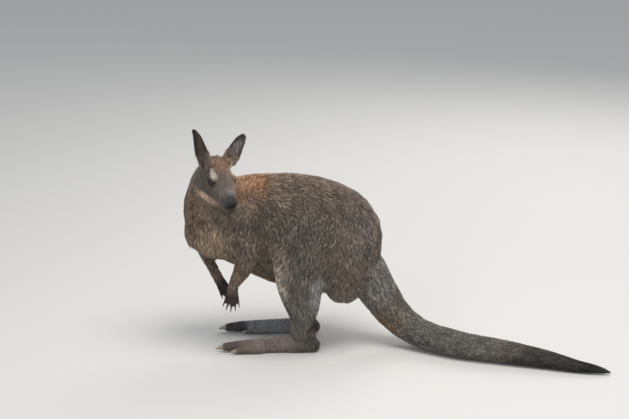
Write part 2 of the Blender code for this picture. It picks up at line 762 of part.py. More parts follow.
def divide(body):
    """Parts the body into its named lengths, from the tips inwards; what is left is the trunk."""
    for number, place in TAIL_CUTS.items():
        carve(body, f"tail_{number}", across_limb(TAIL, -1, place, *TAIL_SPACE))
    for side, sign in SIDES:
        arm = [((x, sign * -y, z), *sizes) for (x, y, z), *sizes in ARMS[side]]
        carve(body, f"forearm_{side}", across_limb(arm, sign, ELBOWS[side], *FOREARM_SPACE))
        centre, radii = SHOULDERS[side]
        carve(body, f"upper_arm_{side}", lambda grow, c=centre, r=radii: ellipsoid(c, r, grow=grow))
        knee = on_side(SHANK_TOP, sign)
        slope = Vector((-math.sin(SHANK_TILT), 0.0, -math.cos(SHANK_TILT)))
        carve(body, f"shank_{side}", lambda grow, k=knee, s=slope: block(k, s, AFT, *SHANK_SPACE, grow))
        hip = on_side(THIGH_CENTRE, sign)
        carve(body, f"thigh_{side}", lambda grow, h=hip: ellipsoid(h, THIGH_RADII, grow=grow))
    nape, chest = Vector(NECK_CUT[0]), Vector(NECK_CUT[1])
    line = (nape - chest).normalized()
    way = SIDEWAYS.cross(line) * -1
    carve(body, "neck", lambda grow: block((nape + chest) / 2, way, line, *NECK_SPACE, grow))
    carve(body, "rump", lambda grow: block(RUMP_CUT, AFT, SIDEWAYS, *TRUNK_SPACE, grow))
    carve(body, "chest", lambda grow: block(CHEST_CUT, -AFT, SIDEWAYS, *TRUNK_SPACE, grow))
    largest_piece(body)


def colour_parts(group):
    """Gives each part its own material in the colour of its coat, horn or eye."""
    for part in group.objects:
        kind = next((kind for start, kind in COAT_OF.items() if part.name.startswith(start)), "body")
        roughness = ROUGHNESS.get(kind, COAT_ROUGHNESS)
        part.data.materials.clear()
        part.data.materials.append(new_material(part.name, COLOURS[kind], roughness))
        part.data.shade_smooth()
        part.data.set_sharp_from_angle(angle=SHARP_ANGLE)


def stand_on_origin(group):
    """Moves the animal so that the middle of its footprint is at the origin."""
    corners = [vertex.co for part in group.objects for vertex in part.data.vertices]
    low = [min(corner[axis] for corner in corners) for axis in range(2)]
    high = [max(corner[axis] for corner in corners) for axis in range(2)]
    shift = Matrix.Translation((-(low[0] + high[0]) / 2, -(low[1] + high[1]) / 2, 0.0))
    for part in group.objects:
        part.data.transform(shift)


def build():
    clear_scene()
    group = new_collection("wallaby")
    body = whole_body(group)
    make_head(body, group)
    for side, sign in SIDES:
        make_hand(body, side, sign, group)
        make_foot(body, side, sign, group)
    divide(body)
    colour_parts(group)
    stand_on_origin(group)


build()
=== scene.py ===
# %% [markdown]
# # A red-necked wallaby, life size, in still pose
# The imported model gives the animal's true outline as forty-two plain solids. This lesson
# dresses them: one seamless skin lies a coat's depth inside them, and thousands of small
# tufts of fur grow from the skin up to the outline. Load the fixed frame first, because
# every later step reads its places from it.

# %% Load the fixed frame
import math

import bmesh
import bpy
import numpy as np
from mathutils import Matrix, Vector
from mathutils.bvhtree import BVHTree


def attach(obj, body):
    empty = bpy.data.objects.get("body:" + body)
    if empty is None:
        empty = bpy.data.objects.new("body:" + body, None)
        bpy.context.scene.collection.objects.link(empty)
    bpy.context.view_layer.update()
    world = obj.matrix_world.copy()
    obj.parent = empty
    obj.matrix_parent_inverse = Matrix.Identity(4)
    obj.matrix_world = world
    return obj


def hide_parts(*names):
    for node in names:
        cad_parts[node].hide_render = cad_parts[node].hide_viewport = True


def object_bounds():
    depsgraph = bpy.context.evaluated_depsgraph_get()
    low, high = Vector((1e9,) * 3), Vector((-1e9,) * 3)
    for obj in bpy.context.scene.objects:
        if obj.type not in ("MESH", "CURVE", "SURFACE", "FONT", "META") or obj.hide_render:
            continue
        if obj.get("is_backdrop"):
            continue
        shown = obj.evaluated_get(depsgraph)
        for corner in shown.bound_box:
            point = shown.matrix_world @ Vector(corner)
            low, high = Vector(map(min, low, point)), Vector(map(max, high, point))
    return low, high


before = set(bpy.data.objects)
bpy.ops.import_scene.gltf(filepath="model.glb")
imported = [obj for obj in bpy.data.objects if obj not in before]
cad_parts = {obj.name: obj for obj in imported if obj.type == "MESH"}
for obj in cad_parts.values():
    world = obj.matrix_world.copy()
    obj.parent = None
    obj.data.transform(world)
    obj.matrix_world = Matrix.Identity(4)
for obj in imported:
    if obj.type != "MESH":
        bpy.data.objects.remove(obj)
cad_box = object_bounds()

FLESH = sorted(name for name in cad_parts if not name.startswith(("eye", "claw")))
EYES = sorted(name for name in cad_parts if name.startswith("eye"))
CLAWS = sorted(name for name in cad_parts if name.startswith("claw"))
print("solids of flesh:", len(FLESH), "eyes:", len(EYES), "claws:", len(CLAWS))

# %% [markdown]
# ## The stage
# A long lens keeps the animal's proportions, so the camera stands well back and a little
# above its eye level. It could be placed by eye, but giving it a target, a distance and
# a fall keeps the three easy to change.

# %% Camera, floor and light
LOOK_AT = Vector((-0.1814, 0.0319, 0.3347))
CAMERA_DISTANCE = 4.6
CAMERA_FALL = math.radians(15)
SENSOR = 36.0
IMAGE_WIDTH = 629
FRAME_WIDTH = IMAGE_WIDTH * 0.00235  # metres seen across at the target


def new_object(name, data):
    """Puts a mesh, a lamp or a camera in the scene."""
    made = bpy.data.objects.new(name, data)
    bpy.context.scene.collection.objects.link(made)
    return made


camera_data = bpy.data.cameras.new("camera")
camera_data.sensor_width = SENSOR
camera_data.lens = SENSOR * CAMERA_DISTANCE / FRAME_WIDTH
camera = new_object("camera", camera_data)
back = Vector((0.0, -math.cos(CAMERA_FALL), math.sin(CAMERA_FALL)))
camera.location = LOOK_AT + back * CAMERA_DISTANCE
camera.rotation_euler = (math.pi / 2 - CAMERA_FALL, 0.0, 0.0)
bpy.context.scene.camera = camera


def deselect_all():
    """Leaves nothing selected, so the next operator acts on one thing only."""
    bpy.ops.object.select_all(action="DESELECT")


def plain_material(name, colour, roughness):
    """A material of one colour, to which nodes can be added."""
    material = bpy.data.materials.new(name)
    material.use_nodes = True
    shader = material.node_tree.nodes["Principled BSDF"]
    shader.inputs["Base Color"].default_value = (*colour, 1.0)
    shader.inputs["Roughness"].default_value = roughness
    return material, shader


def area_light(name, place, size, watts, colour):
    """A soft square light that faces the animal."""
    data = bpy.data.lights.new(name, "AREA")
    data.size = size
    data.energy = watts
    data.color = colour
    lamp = new_object(name, data)
    lamp.location = place
    lamp.rotation_euler = (LOOK_AT - Vector(place)).to_track_quat("-Z", "Y").to_euler()


FLOOR_SIZE = 12.0
WORLD_COLOUR, WORLD_STRENGTH = (0.90, 0.94, 1.0), 0.62
LIGHTS = (
    ("key", (0.4, -0.7, 2.8), 1.6, 68.0, (1.0, 0.97, 0.92)),
    ("fill", (-1.4, -2.2, 1.3), 2.0, 17.0, (0.97, 0.98, 1.0)),
    ("rim", (0.9, 2.3, 1.9), 1.6, 34.0, (1.0, 0.98, 0.96)),
)

deselect_all()
bpy.ops.mesh.primitive_plane_add(size=FLOOR_SIZE, location=(0.0, 0.0, 0.0))
floor = bpy.context.object
floor.name = "floor"
floor_material, floor_shader = plain_material("pale_floor", (0.56, 0.55, 0.53), 0.85)
floor_shader.inputs["Specular IOR Level"].default_value = 0.1
floor.data.materials.append(floor_material)
floor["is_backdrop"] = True

world = bpy.data.worlds.new("studio")
world.use_nodes = True
sky = world.node_tree.nodes["Background"]
sky.inputs["Color"].default_value = (*WORLD_COLOUR, 1.0)
sky.inputs["Strength"].default_value = WORLD_STRENGTH
bpy.context.scene.world = world
bpy.context.scene.view_settings.view_transform = "Standard"
for name, place, size, watts, colour in LIGHTS:
    area_light(name, place, size, watts, colour)
print("lens", round(camera_data.lens, 1), "mm,", len(LIGHTS), "lights")

# %% [markdown]
# ## The head's own directions
# Eyes, lids, nostrils and mouth are easiest to place in the head's own directions. The
# head turns toward the viewer's right and its muzzle points down, so three angles turn
# the plain directions into forward, left and up of the head.

# %% Places on the head
EYE_MID = Vector((-0.3949, -0.0181, 0.4165))
HEAD_YAW, HEAD_PITCH, HEAD_ROLL = math.radians(32), math.radians(39), math.radians(5)

level = Vector((math.sin(HEAD_YAW), -math.cos(HEAD_YAW), 0.0))
FORWARD = level * math.cos(HEAD_PITCH) + Vector((0.0, 0.0, -math.sin(HEAD_PITCH)))
plain_left = Vector((math.cos(HEAD_YAW), math.sin(HEAD_YAW), 0.0))
plain_up = FORWARD.cross(plain_left)
LEFTWARD = plain_left * math.cos(HEAD_ROLL) - plain_up * math.sin(HEAD_ROLL)
UPWARD = plain_up * math.cos(HEAD_ROLL) + plain_left * math.sin(HEAD_ROLL)
HEAD_AXES = np.array((FORWARD, LEFTWARD, UPWARD))


def on_head(ahead, left, up):
    """A place given along the head's own directions."""
    return EYE_MID + FORWARD * ahead + LEFTWARD * left + UPWARD * up


def head_places(points):
    """Places in the head's own directions: ahead, left and up."""
    return (points - np.array(EYE_MID)) @ HEAD_AXES.T


print("forward", [round(v, 2) for v in FORWARD])

# %% [markdown]
# ## Small helpers for arrays of points
# The fur follows a few soft rules, such as "longer here" or "darker there". Each rule is
# a fade from 1 at a place to 0 at the edge of an oval around it. Written for a whole
# array at once, a rule takes a moment for a hundred thousand points.

# %% Fades and waves
WAVE_COUNT = 6


def share_of(values):
    """Values kept between 0 and 1."""
    return np.clip(values, 0.0, 1.0)


def smoothstep(low, high, values):
    """0 up to low, 1 from high, and a soft rise between them."""
    share = share_of((values - low) / (high - low))
    return share * share * (3.0 - 2.0 * share)


def fade(points, centre, radii):
    """1 at the centre of an oval, falling smoothly to 0 at its edge."""
    away = np.linalg.norm((points - np.array(centre)) / np.array(radii), axis=1)
    near = share_of(1.0 - away)
    return near * near * (3.0 - 2.0 * near)


def inside_oval(points, centre, radii, gain):
    """A fade made steeper by its gain, so that it stays 1 over more of the oval."""
    return share_of(gain * fade(points, centre, radii))


def waves(points, size, seed):
    """A soft wandering value between about -1 and 1, the same each run."""
    dice = np.random.default_rng(seed)
    total = np.zeros(len(points))
    for _ in range(WAVE_COUNT):
        direction = dice.normal(size=3)
        direction /= np.linalg.norm(direction)
        phase = dice.uniform(0.0, 2.0 * math.pi)
        pace = 2.0 * math.pi / (size * dice.uniform(0.7, 1.4))
        total += np.sin(points @ direction * pace + phase)
    return total / (WAVE_COUNT / 2)


def unit(vectors):
    """The same directions, each one long."""
    return vectors / np.maximum(np.linalg.norm(vectors, axis=1, keepdims=True), 1e-12)


def point_places(mesh):
    """Where the points of a mesh are."""
    values = np.empty(len(mesh.vertices) * 3, np.float32)
    mesh.vertices.foreach_get("co", values)
    return values.reshape(-1, 3).astype(float)


def point_normals(mesh):
    """The way the surface of a mesh faces at each point."""
    values = np.empty(len(mesh.vertices) * 3, np.float32)
    mesh.vertex_normals.foreach_get("vector", values)
    return values.reshape(-1, 3).astype(float)


def move_points(mesh, points):
    """Gives the points of a mesh their new places."""
    mesh.vertices.foreach_set("co", points.astype(np.float32).ravel())
    mesh.update()


print("a wave at three places:", waves(np.eye(3), 1.0, 0).round(2))

# %% [markdown]
# ## One skin from many solids
# The solids meet with hair-thin gaps. Copies of them are swollen until they touch, then
# a voxel remesh wraps all of them, the eyeballs too, in one closed sheet. Joining them by
# hand would leave seams, and the remesh leaves none. Smoothing then takes the flat facets
# off the body, and nearly spares the head, the ears, the hands and the feet.

# %% Wrap the solids
SWELL = 0.0004
SKIN_VOXEL = 0.0015
SAME_PLACE = 0.00001

deselect_all()
for name in FLESH + EYES:
    copy = new_object("copy_of_" + name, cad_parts[name].data.copy())
    copy.select_set(True)
    bpy.context.view_layer.objects.active = copy
bpy.ops.object.join()
skin = bpy.context.object
skin.name = "skin"
skin.data.materials.clear()
bpy.ops.object.mode_set(mode="EDIT")
bpy.ops.mesh.select_all(action="SELECT")
bpy.ops.mesh.remove_doubles(threshold=SAME_PLACE)
bpy.ops.object.mode_set(mode="OBJECT")


def apply_modifier(thing, kind, **values):
    """Adds a modifier with its values and applies it."""
    modifier = thing.modifiers.new(kind.lower(), kind)
    for key, value in values.items():
        setattr(modifier, key, value)
    bpy.context.view_layer.objects.active = thing
    bpy.ops.object.modifier_apply(modifier=modifier.name)


apply_modifier(skin, "DISPLACE", strength=SWELL, mid_level=0.0)
apply_modifier(skin, "REMESH", mode="VOXEL", voxel_size=SKIN_VOXEL)
print("wrapped skin:", len(skin.data.vertices), "points")

# %% [markdown]
# ## Smooth, and sink by the coat's depth
# The skin has to lie under the outline by as much as the fur stands proud: most on the
# trunk, least on the face, the feet and the ears. One soft field holds that depth. The
# fur later reads the same field, so its tips end where the outline was.

# %% The parts that keep their detail
HEAD_MID = on_head(0.004, 0.0, -0.012)
HEAD_REACH = (0.105, 0.105, 0.105)
HANDS = ((-0.3754, -0.0545, 0.140), (-0.3960, 0.0400, 0.135))
FEET = ((-0.290, -0.018, 0.010), (-0.290, 0.122, 0.010))
EAR_ROOTS = (on_head(-0.033, 0.0150, 0.012), on_head(-0.033, -0.0268, 0.012))
EAR_SPREADS = (math.radians(42), math.radians(27))
EAR_SIGNS = (1, -1)
EAR_LENGTHS = (0.092, 0.097)
EAR_START, EAR_RISE = 0.022, 0.012  # from the root to where an ear is free, and its fade
EAR_REACH, EAR_FADE = 0.034, 0.008  # how far from its line an ear reaches, and its fade


def ear_along(index):
    """The direction of an ear, from its root to its tip."""
    straight_up = (UPWARD - FORWARD).normalized()
    spread = EAR_SPREADS[index]
    return straight_up * math.cos(spread) + LEFTWARD * EAR_SIGNS[index] * math.sin(spread)


def segment_places(points, start, end):
    """How far along a line each point lies, from 0 to 1, and how far off it."""
    start, end = np.array(start), np.array(end)
    line = end - start
    share = np.clip((points - start) @ line / (line @ line), 0.0, 1.0)
    return share, np.linalg.norm(points - start - share[:, None] * line, axis=1)


def ear_share(points):
    """1 on an ear beyond its root, 0 off it."""
    total = np.zeros(len(points))
    for index in (0, 1):
        along = ear_along(index)
        start = EAR_ROOTS[index] + along * EAR_START
        end = EAR_ROOTS[index] + along * EAR_LENGTHS[index]
        _, off = segment_places(points, start, end)
        ahead = (points - np.array(start)) @ np.array(along)
        own = share_of(ahead / EAR_RISE) * share_of((EAR_REACH - off) / EAR_FADE)
        total = np.maximum(total, own)
    return total


def fine_share(points):
    """1 where the shapes are small: head, ears, hands and feet."""
    total = inside_oval(points, HEAD_MID, HEAD_REACH, 1.6)
    total = np.maximum(total, ear_share(points))
    for hand in HANDS:
        total = np.maximum(total, inside_oval(points, hand, (0.06, 0.06, 0.065), 2.5))
    for foot in FEET:
        total = np.maximum(total, inside_oval(points, foot, (0.15, 0.05, 0.075), 4.0))
    return total


def smooth(thing, shares, rounds):
    """Smooths a mesh, each point by its own share, in steps of a tenth."""
    group = thing.vertex_groups.new(name="smooth")
    tenths = np.round(share_of(shares) * 10).astype(int)
    for tenth in range(1, 11):
        chosen = np.nonzero(tenths == tenth)[0].tolist()
        if chosen:
            group.add(chosen, tenth / 10, "REPLACE")
    apply_modifier(thing, "SMOOTH", factor=0.5, iterations=rounds, vertex_group="smooth")
    thing.vertex_groups.clear()


BODY_ROUNDS, ALL_ROUNDS, SUNK_ROUNDS = 60, 4, 12

points = point_places(skin.data)
fine = fine_share(points)
smooth(skin, 1.0 - 0.85 * fine, BODY_ROUNDS)
smooth(skin, 1.0 - 0.2 * ear_share(points), ALL_ROUNDS)
print("fine points:", int((fine > 0.5).sum()))

# %% The coat's depth
BODY_DEPTH, TAIL_THINNER, LEG_THINNER = 0.0058, 0.0034, 0.0024
HEAD_DEPTH, FACE_THINNER = 0.0034, 0.0022
FOOT_DEPTH, HAND_DEPTH, EAR_DEPTH = 0.0016, 0.0010, 0.0006
FOOT_OVAL = ((0.15, 0.05, 0.085), 4.0)
HAND_OVAL = ((0.065, 0.065, 0.080), 2.2)
HEAD_OVAL = ((0.100, 0.100, 0.100), 2.0)
FACE_START, FACE_LENGTH = -0.02, 0.07  # along the head, where the coat thins to the nose
TAIL_START = -0.07
TAIL_LINE = (
    (-0.0614, 0.0519, 0.168),
    (-0.0014, 0.0399, 0.076),
    (0.0906, -0.0141, 0.0325),
    (0.2536, -0.0961, 0.0245),
    (0.4226, -0.1641, 0.0152),
    (0.4866, -0.1821, 0.008),
)


def tail_share(points):
    """How far along the tail each point lies, from 0 at its root to 1 at its tip."""
    lengths = [0.0]
    for start, end in zip(TAIL_LINE, TAIL_LINE[1:]):
        lengths.append(lengths[-1] + math.dist(start, end))
    best = np.full(len(points), np.inf)
    along = np.zeros(len(points))
    for index, (start, end) in enumerate(zip(TAIL_LINE, TAIL_LINE[1:])):
        share, off = segment_places(points, start, end)
        here = (lengths[index] + share * (lengths[index + 1] - lengths[index])) / lengths[-1]
        along = np.where(off < best, here, along)
        best = np.minimum(best, off)
    return np.where(points[:, 0] > TAIL_START, along, 0.0)


def with_fine_parts(points, values, skull, less_ahead, foot, hand, ear):
    """Lays the values of the feet, hands, head and ears over those of the body."""
    for place in FEET:
        values += inside_oval(points, place, *FOOT_OVAL) * (foot - values)
    for place in HANDS:
        values += inside_oval(points, place, *HAND_OVAL) * (hand - values)
    ahead = head_places(points)[:, 0]
    face = skull - less_ahead * share_of((ahead - FACE_START) / FACE_LENGTH)
    values += inside_oval(points, HEAD_MID, *HEAD_OVAL) * (face - values)
    return values + ear_share(points) * (ear - values)


def coat_depth(points):
    """How deep the skin lies under the outline."""
    depth = BODY_DEPTH - TAIL_THINNER * share_of(tail_share(points) * 1.5)
    low = share_of((0.22 - points[:, 2]) / 0.10) * (points[:, 0] < -0.12)
    depth -= low * LEG_THINNER
    return with_fine_parts(
        points, depth, HEAD_DEPTH, FACE_THINNER, FOOT_DEPTH, HAND_DEPTH, EAR_DEPTH
    )


points = point_places(skin.data)
depths = coat_depth(points)
points -= point_normals(skin.data) * depths[:, None]
move_points(skin.data, points)
smooth(skin, 1.0 - fine_share(points), SUNK_ROUNDS)
print("depth from", round(depths.min() * 1000, 1), "to", round(depths.max() * 1000, 1), "mm")

# %% [markdown]
# ## Lids, nostrils and mouth
# The remesh is too coarse for lids. The faces around each eye and on the muzzle are
# divided first. Then the points move by simple rules in the head's own directions: lids
# are skin pushed out over the eyeball, the eye's opening and the nostrils are skin pushed
# in, and the mouth is a shallow groove.

# %% Divide the faces of the eyes and the muzzle
EYE_RADIUS = 0.0098
EYE_ASIDE, EYE_UP = 0.0250, 0.0005
GAZE_OUT, GAZE_AHEAD, GAZE_UP = 0.95, 0.30, 0.10
OPENING_TILT = 0.45  # rise of the opening's front corner over its length
NOSE = on_head(0.064, 0.0, -0.012)
EYE_REACHES = (0.019, 0.0135)  # divided once out to the first, again out to the second
NOSE_REACH = 0.022


def eye_centre(sign):
    """The middle of the eyeball: sign 1 is the left eye, -1 the right."""
    return on_head(0.0, sign * EYE_ASIDE, EYE_UP)


def eye_axes(sign):
    """The way an eye looks, and the long and short directions of its opening."""
    gaze = (LEFTWARD * sign * GAZE_OUT + FORWARD * GAZE_AHEAD + UPWARD * GAZE_UP).normalized()
    long = FORWARD + UPWARD * OPENING_TILT
    long = (long - gaze * long.dot(gaze)).normalized()
    short = gaze.cross(long) * (1 if sign > 0 else -1)
    return gaze, long, short


def divide_faces(thing, centre, reach):
    """Divides the faces near a place in four."""
    shape = bmesh.new()
    shape.from_mesh(thing.data)
    near = [
        edge for edge in shape.edges
        if all((vertex.co - centre).length < reach for vertex in edge.verts)
    ]
    bmesh.ops.subdivide_edges(shape, edges=near, cuts=1, use_grid_fill=True)
    shape.to_mesh(thing.data)
    shape.free()


for sign in (1, -1):
    middle = eye_centre(sign) + eye_axes(sign)[0] * EYE_RADIUS
    for reach in EYE_REACHES:
        divide_faces(skin, middle, reach)
divide_faces(skin, NOSE, NOSE_REACH)
print("skin points with finer face:", len(skin.data.vertices))

# %% Shape the lids
# Sizes of the opening and places across it are in eye radii, heights of skin in metres
OPENING_LONG, OPENING_UP, OPENING_DOWN = 0.96, 0.60, 0.52
LID_LIFT, LID_EDGE, LID_FADE = 0.0004, 0.0011, 0.22
LID_END, LID_FALL = 0.55, 0.012
LID_BLEND = 0.0006  # rounds the crease where the lid meets the face
INNER_DEPTH = 0.0022  # how far under the ball's surface the opening's skin lies
EYE_AREA = 2.2


def eye_opening(points, sign):
    """How far outside the opening each point is, and its distance and way from the ball."""
    gaze, long, short = (np.array(axis) for axis in eye_axes(sign))
    off = points - np.array(eye_centre(sign))
    reach = np.maximum(np.linalg.norm(off, axis=1), 1e-9)
    across, up, ahead = off @ long / reach, off @ short / reach, off @ gaze / reach
    height = np.where(up > 0, OPENING_UP, OPENING_DOWN) * (1.0 - (across / OPENING_LONG) ** 2)
    outside = np.abs(up) - height
    outside = np.where(ahead < 0.1, 1.0 - ahead, outside)
    return outside, reach, off / reach[:, None]


def shape_lids(points, sign):
    """Moves the skin near an eye over the ball, and under it inside the opening."""
    outside, reach, direction = eye_opening(points, sign)
    edge = LID_EDGE * np.exp(-np.clip(outside, 0.0, None) / LID_FADE)
    lid = EYE_RADIUS + LID_LIFT + edge
    lid -= LID_FALL * np.clip(outside - LID_END, 0.0, None)
    over = 0.5 * (reach + lid + np.sqrt((reach - lid) ** 2 + LID_BLEND**2))
    inner = EYE_RADIUS - INNER_DEPTH
    share = smoothstep(0.05, -0.03, outside)
    wanted = over + share * (inner - over)
    near = (reach < EYE_RADIUS * EYE_AREA) & (outside < 1.3)
    wanted = np.where(near, wanted, reach)
    return points + direction * (wanted - reach)[:, None]


points = point_places(skin.data)
for sign in (1, -1):
    points = shape_lids(points, sign)
print("lids stand", round((LID_LIFT + LID_EDGE) * 1000, 1), "mm off the eyeballs")

# %% Shape the nostrils and the mouth
# The mouth's line is ahead and up on the head, the nostril's ahead, aside and up
MOUTH = ((0.080, -0.0215), (0.062, -0.0240), (0.046, -0.0258), (0.030, -0.0262), (0.019, -0.0245))
NOSTRIL = ((0.0720, 0.0036, -0.0125), (0.0700, 0.0075, -0.0105), (0.0655, 0.0108, -0.0068))
MUZZLE_MID = on_head(0.045, 0.0, -0.013)
NOSE_START, MOUTH_START = 0.058, 0.010
# Depth and half width of each form
DENT, RIM = (0.0042, 0.0017), (0.0009, 0.0013)
GROOVE, CLEFT = (0.0018, 0.0010), (0.0014, 0.0009)
RIM_AT = 0.0034  # from the nostril's line


def line_gap(values, line):
    """The distance from each point to a line through several places."""
    best = np.full(len(values), np.inf)
    for start, end in zip(line, line[1:]):
        best = np.minimum(best, segment_places(values, start, end)[1])
    return best


def furrow(away, size):
    """A rounded furrow: its depth in the middle, fading over its half width."""
    depth, half_width = size
    return depth * np.exp(-((away / half_width) ** 2))


head = head_places(points)
ahead, left, up = head.T
mirrored = np.column_stack((ahead, np.abs(left), up))
inward = unit(np.array(MUZZLE_MID) - points)
nostril = line_gap(mirrored, NOSTRIL)
dent = furrow(nostril, DENT) * (ahead > NOSE_START)
rim = furrow(nostril - RIM_AT, RIM) * (ahead > NOSE_START)
on_muzzle = (ahead > MOUTH_START) & (np.abs(left) > 0.0035)
groove = furrow(line_gap(head[:, (0, 2)], MOUTH), GROOVE) * on_muzzle
cleft = furrow(left, CLEFT) * (ahead > 0.060)
cleft *= smoothstep(-0.0235, -0.0205, up) * smoothstep(-0.006, -0.010, up)
points += inward * (dent + groove + cleft - rim)[:, None]
move_points(skin.data, points)
print("deepest nostril", round(float(dent.max()) * 1000, 1), "mm")

# %% [markdown]
# ## Fewer triangles
# Decimate takes points away where the skin is nearly flat and keeps them where it bends,
# which is how a sculptor would spend them too. Smoothing has drawn the skin in over the
# round parts of the body, so it is then raised to lie exactly a coat's depth inside.

# %% Thin the skin
SKIN_TRIANGLES = 190000
LEAST_SHORTFALL, MOST_SHORTFALL = -0.001, 0.006
EVEN_ROUNDS = 30

triangles = sum(len(face.vertices) - 2 for face in skin.data.polygons)
apply_modifier(skin, "DECIMATE", ratio=SKIN_TRIANGLES / triangles, use_collapse_triangulate=True)

places, faces, owners = [], [], []
for name in FLESH:
    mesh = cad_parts[name].data
    start = len(places)
    places.extend(vertex.co.copy() for vertex in mesh.vertices)
    faces.extend([start + corner for corner in face.vertices] for face in mesh.polygons)
    owners.extend([name] * len(mesh.polygons))
solids = BVHTree.FromPolygons(places, faces)


def evened(mesh, values, rounds):
    """Values at the points, each one averaged with its neighbours'."""
    edges = np.empty(len(mesh.edges) * 2, np.int32)
    mesh.edges.foreach_get("vertices", edges)
    a, b = edges.reshape(-1, 2).T
    total = np.bincount(a, minlength=len(values)) + np.bincount(b, minlength=len(values))
    for _ in range(rounds):
        near = np.bincount(a, values[b], len(values)) + np.bincount(b, values[a], len(values))
        values = 0.5 * values + 0.5 * near / np.maximum(total, 1)
    return values


points = point_places(skin.data)
gap = np.array([solids.find_nearest(place)[3] for place in points.tolist()])
shortfall = np.clip(gap - coat_depth(points), LEAST_SHORTFALL, MOST_SHORTFALL)
shortfall = evened(skin.data, shortfall, EVEN_ROUNDS)
points += point_normals(skin.data) * (shortfall * (1.0 - fine_share(points)))[:, None]
skin.data.polygons.foreach_set("use_smooth", np.ones(len(skin.data.polygons), bool))
move_points(skin.data, points)
print("raised by up to", round(float(shortfall.max()) * 1000, 1), "mm")
print("skin triangles:", triangles, "thinned to", len(skin.data.polygons))

# %% [markdown]
# ## Which part of the body each face belongs to
# The coat is made in pieces, each for a few parts of the body. The nearest solid says
# which part a face of the skin belongs to. The tree of the solids' faces makes that quick.

# %% Name the skin's faces
SKIN_POINTS = point_places(skin.data)
SKIN_NORMALS = point_normals(skin.data)
corners = np.empty(len(skin.data.polygons) * 3, np.int32)
skin.data.polygons.foreach_get("vertices", corners)
SKIN_FACES = corners.reshape(-1, 3)
middles = SKIN_POINTS[SKIN_FACES].mean(axis=1)
FACE_PARTS = np.array([owners[solids.find_nearest(middle)[2]] for middle in middles.tolist()])
print("parts found:", len(set(FACE_PARTS)))

# %% [markdown]
# ## How the fur lies
# Fur points away from the nose, back over the head, along the trunk and down the limbs.
# A few strokes drawn inside the body say so. Each tuft takes the strokes near it, the
# nearest most, and lies in the skin's own plane.

# %% Strokes for the lie of the fur
STROKES = (
    (on_head(0.070, 0.0, -0.012), on_head(0.030, 0.0, -0.010)),
    (on_head(0.030, 0.0, -0.010), on_head(-0.010, 0.0, -0.004)),
    (on_head(-0.010, 0.0, -0.004), on_head(-0.052, 0.0, 0.004)),
    (on_head(0.040, 0.018, -0.020), on_head(-0.030, 0.030, -0.034)),
    (on_head(0.040, -0.018, -0.020), on_head(-0.030, -0.030, -0.034)),
    ((-0.418, 0.040, 0.415), (-0.395, 0.052, 0.350)),
    ((-0.425, 0.020, 0.390), (-0.440, 0.035, 0.310)),
    ((-0.440, 0.035, 0.310), (-0.430, 0.050, 0.240)),
    ((-0.395, 0.052, 0.350), (-0.320, 0.052, 0.335)),
    ((-0.320, 0.052, 0.335), (-0.220, 0.052, 0.310)),
    ((-0.220, 0.052, 0.310), (-0.140, 0.052, 0.270)),
    ((-0.140, 0.052, 0.270), (-0.080, 0.052, 0.200)),
    ((-0.420, 0.050, 0.235), (-0.340, 0.050, 0.205)),
    ((-0.340, 0.050, 0.205), (-0.230, 0.050, 0.175)),
    ((-0.230, 0.050, 0.175), (-0.120, 0.050, 0.150)),
    ((-0.150, -0.030, 0.270), (-0.215, -0.045, 0.195)),
    ((-0.150, 0.134, 0.270), (-0.215, 0.149, 0.195)),
    ((-0.215, -0.042, 0.195), (-0.210, -0.025, 0.110)),
    ((-0.215, 0.146, 0.195), (-0.210, 0.129, 0.110)),
    ((-0.210, -0.025, 0.110), (-0.208, -0.018, 0.035)),
    ((-0.210, 0.129, 0.110), (-0.208, 0.122, 0.035)),
    ((-0.208, -0.018, 0.020), (-0.385, -0.018, 0.008)),
    ((-0.208, 0.122, 0.020), (-0.385, 0.122, 0.008)),
    ((-0.345, -0.020, 0.315), (-0.337, -0.036, 0.245)),
    ((-0.337, -0.036, 0.245), (-0.372, -0.053, 0.160)),
    ((-0.372, -0.053, 0.160), (-0.374, -0.054, 0.110)),
    ((-0.420, 0.088, 0.305), (-0.441, 0.084, 0.238)),
    ((-0.441, 0.084, 0.238), (-0.405, 0.045, 0.155)),
    ((-0.405, 0.045, 0.155), (-0.392, 0.038, 0.115)),
) + tuple(zip(TAIL_LINE, TAIL_LINE[1:]))
NEAR = 0.012  # within this distance, strokes count nearly alike
STROKE_POWER = -4
EAR_STROKE = 6.0  # how much an ear's own line outweighs the strokes
DROOP = 0.35
DOWNWARD = np.array((0.0, 0.0, -1.0))


def lie(points, normals):
    """The way the fur lies at each point, in the plane of the skin."""
    total = np.zeros_like(points)
    for start, end in STROKES:
        _, off = segment_places(points, start, end)
        direction = np.array(end) - np.array(start)
        direction /= np.linalg.norm(direction)
        total += direction * ((off + NEAR) ** STROKE_POWER)[:, None]
    total = unit(total)
    on_ear = ear_share(points)
    for index in (0, 1):
        along = ear_along(index)
        tip = EAR_ROOTS[index] + along * EAR_LENGTHS[index]
        _, off = segment_places(points, EAR_ROOTS[index], tip)
        share = share_of((0.030 - off) / 0.012) * on_ear
        total += np.array(along) * (share * EAR_STROKE)[:, None]
    droop = DROOP * share_of((points[:, 2] - 0.12) / 0.08) * (1.0 - on_ear)
    total = unit(total) + DOWNWARD * droop[:, None]
    total -= normals * np.sum(total * normals, axis=1, keepdims=True)
    return unit(total)


print("strokes:", len(STROKES))

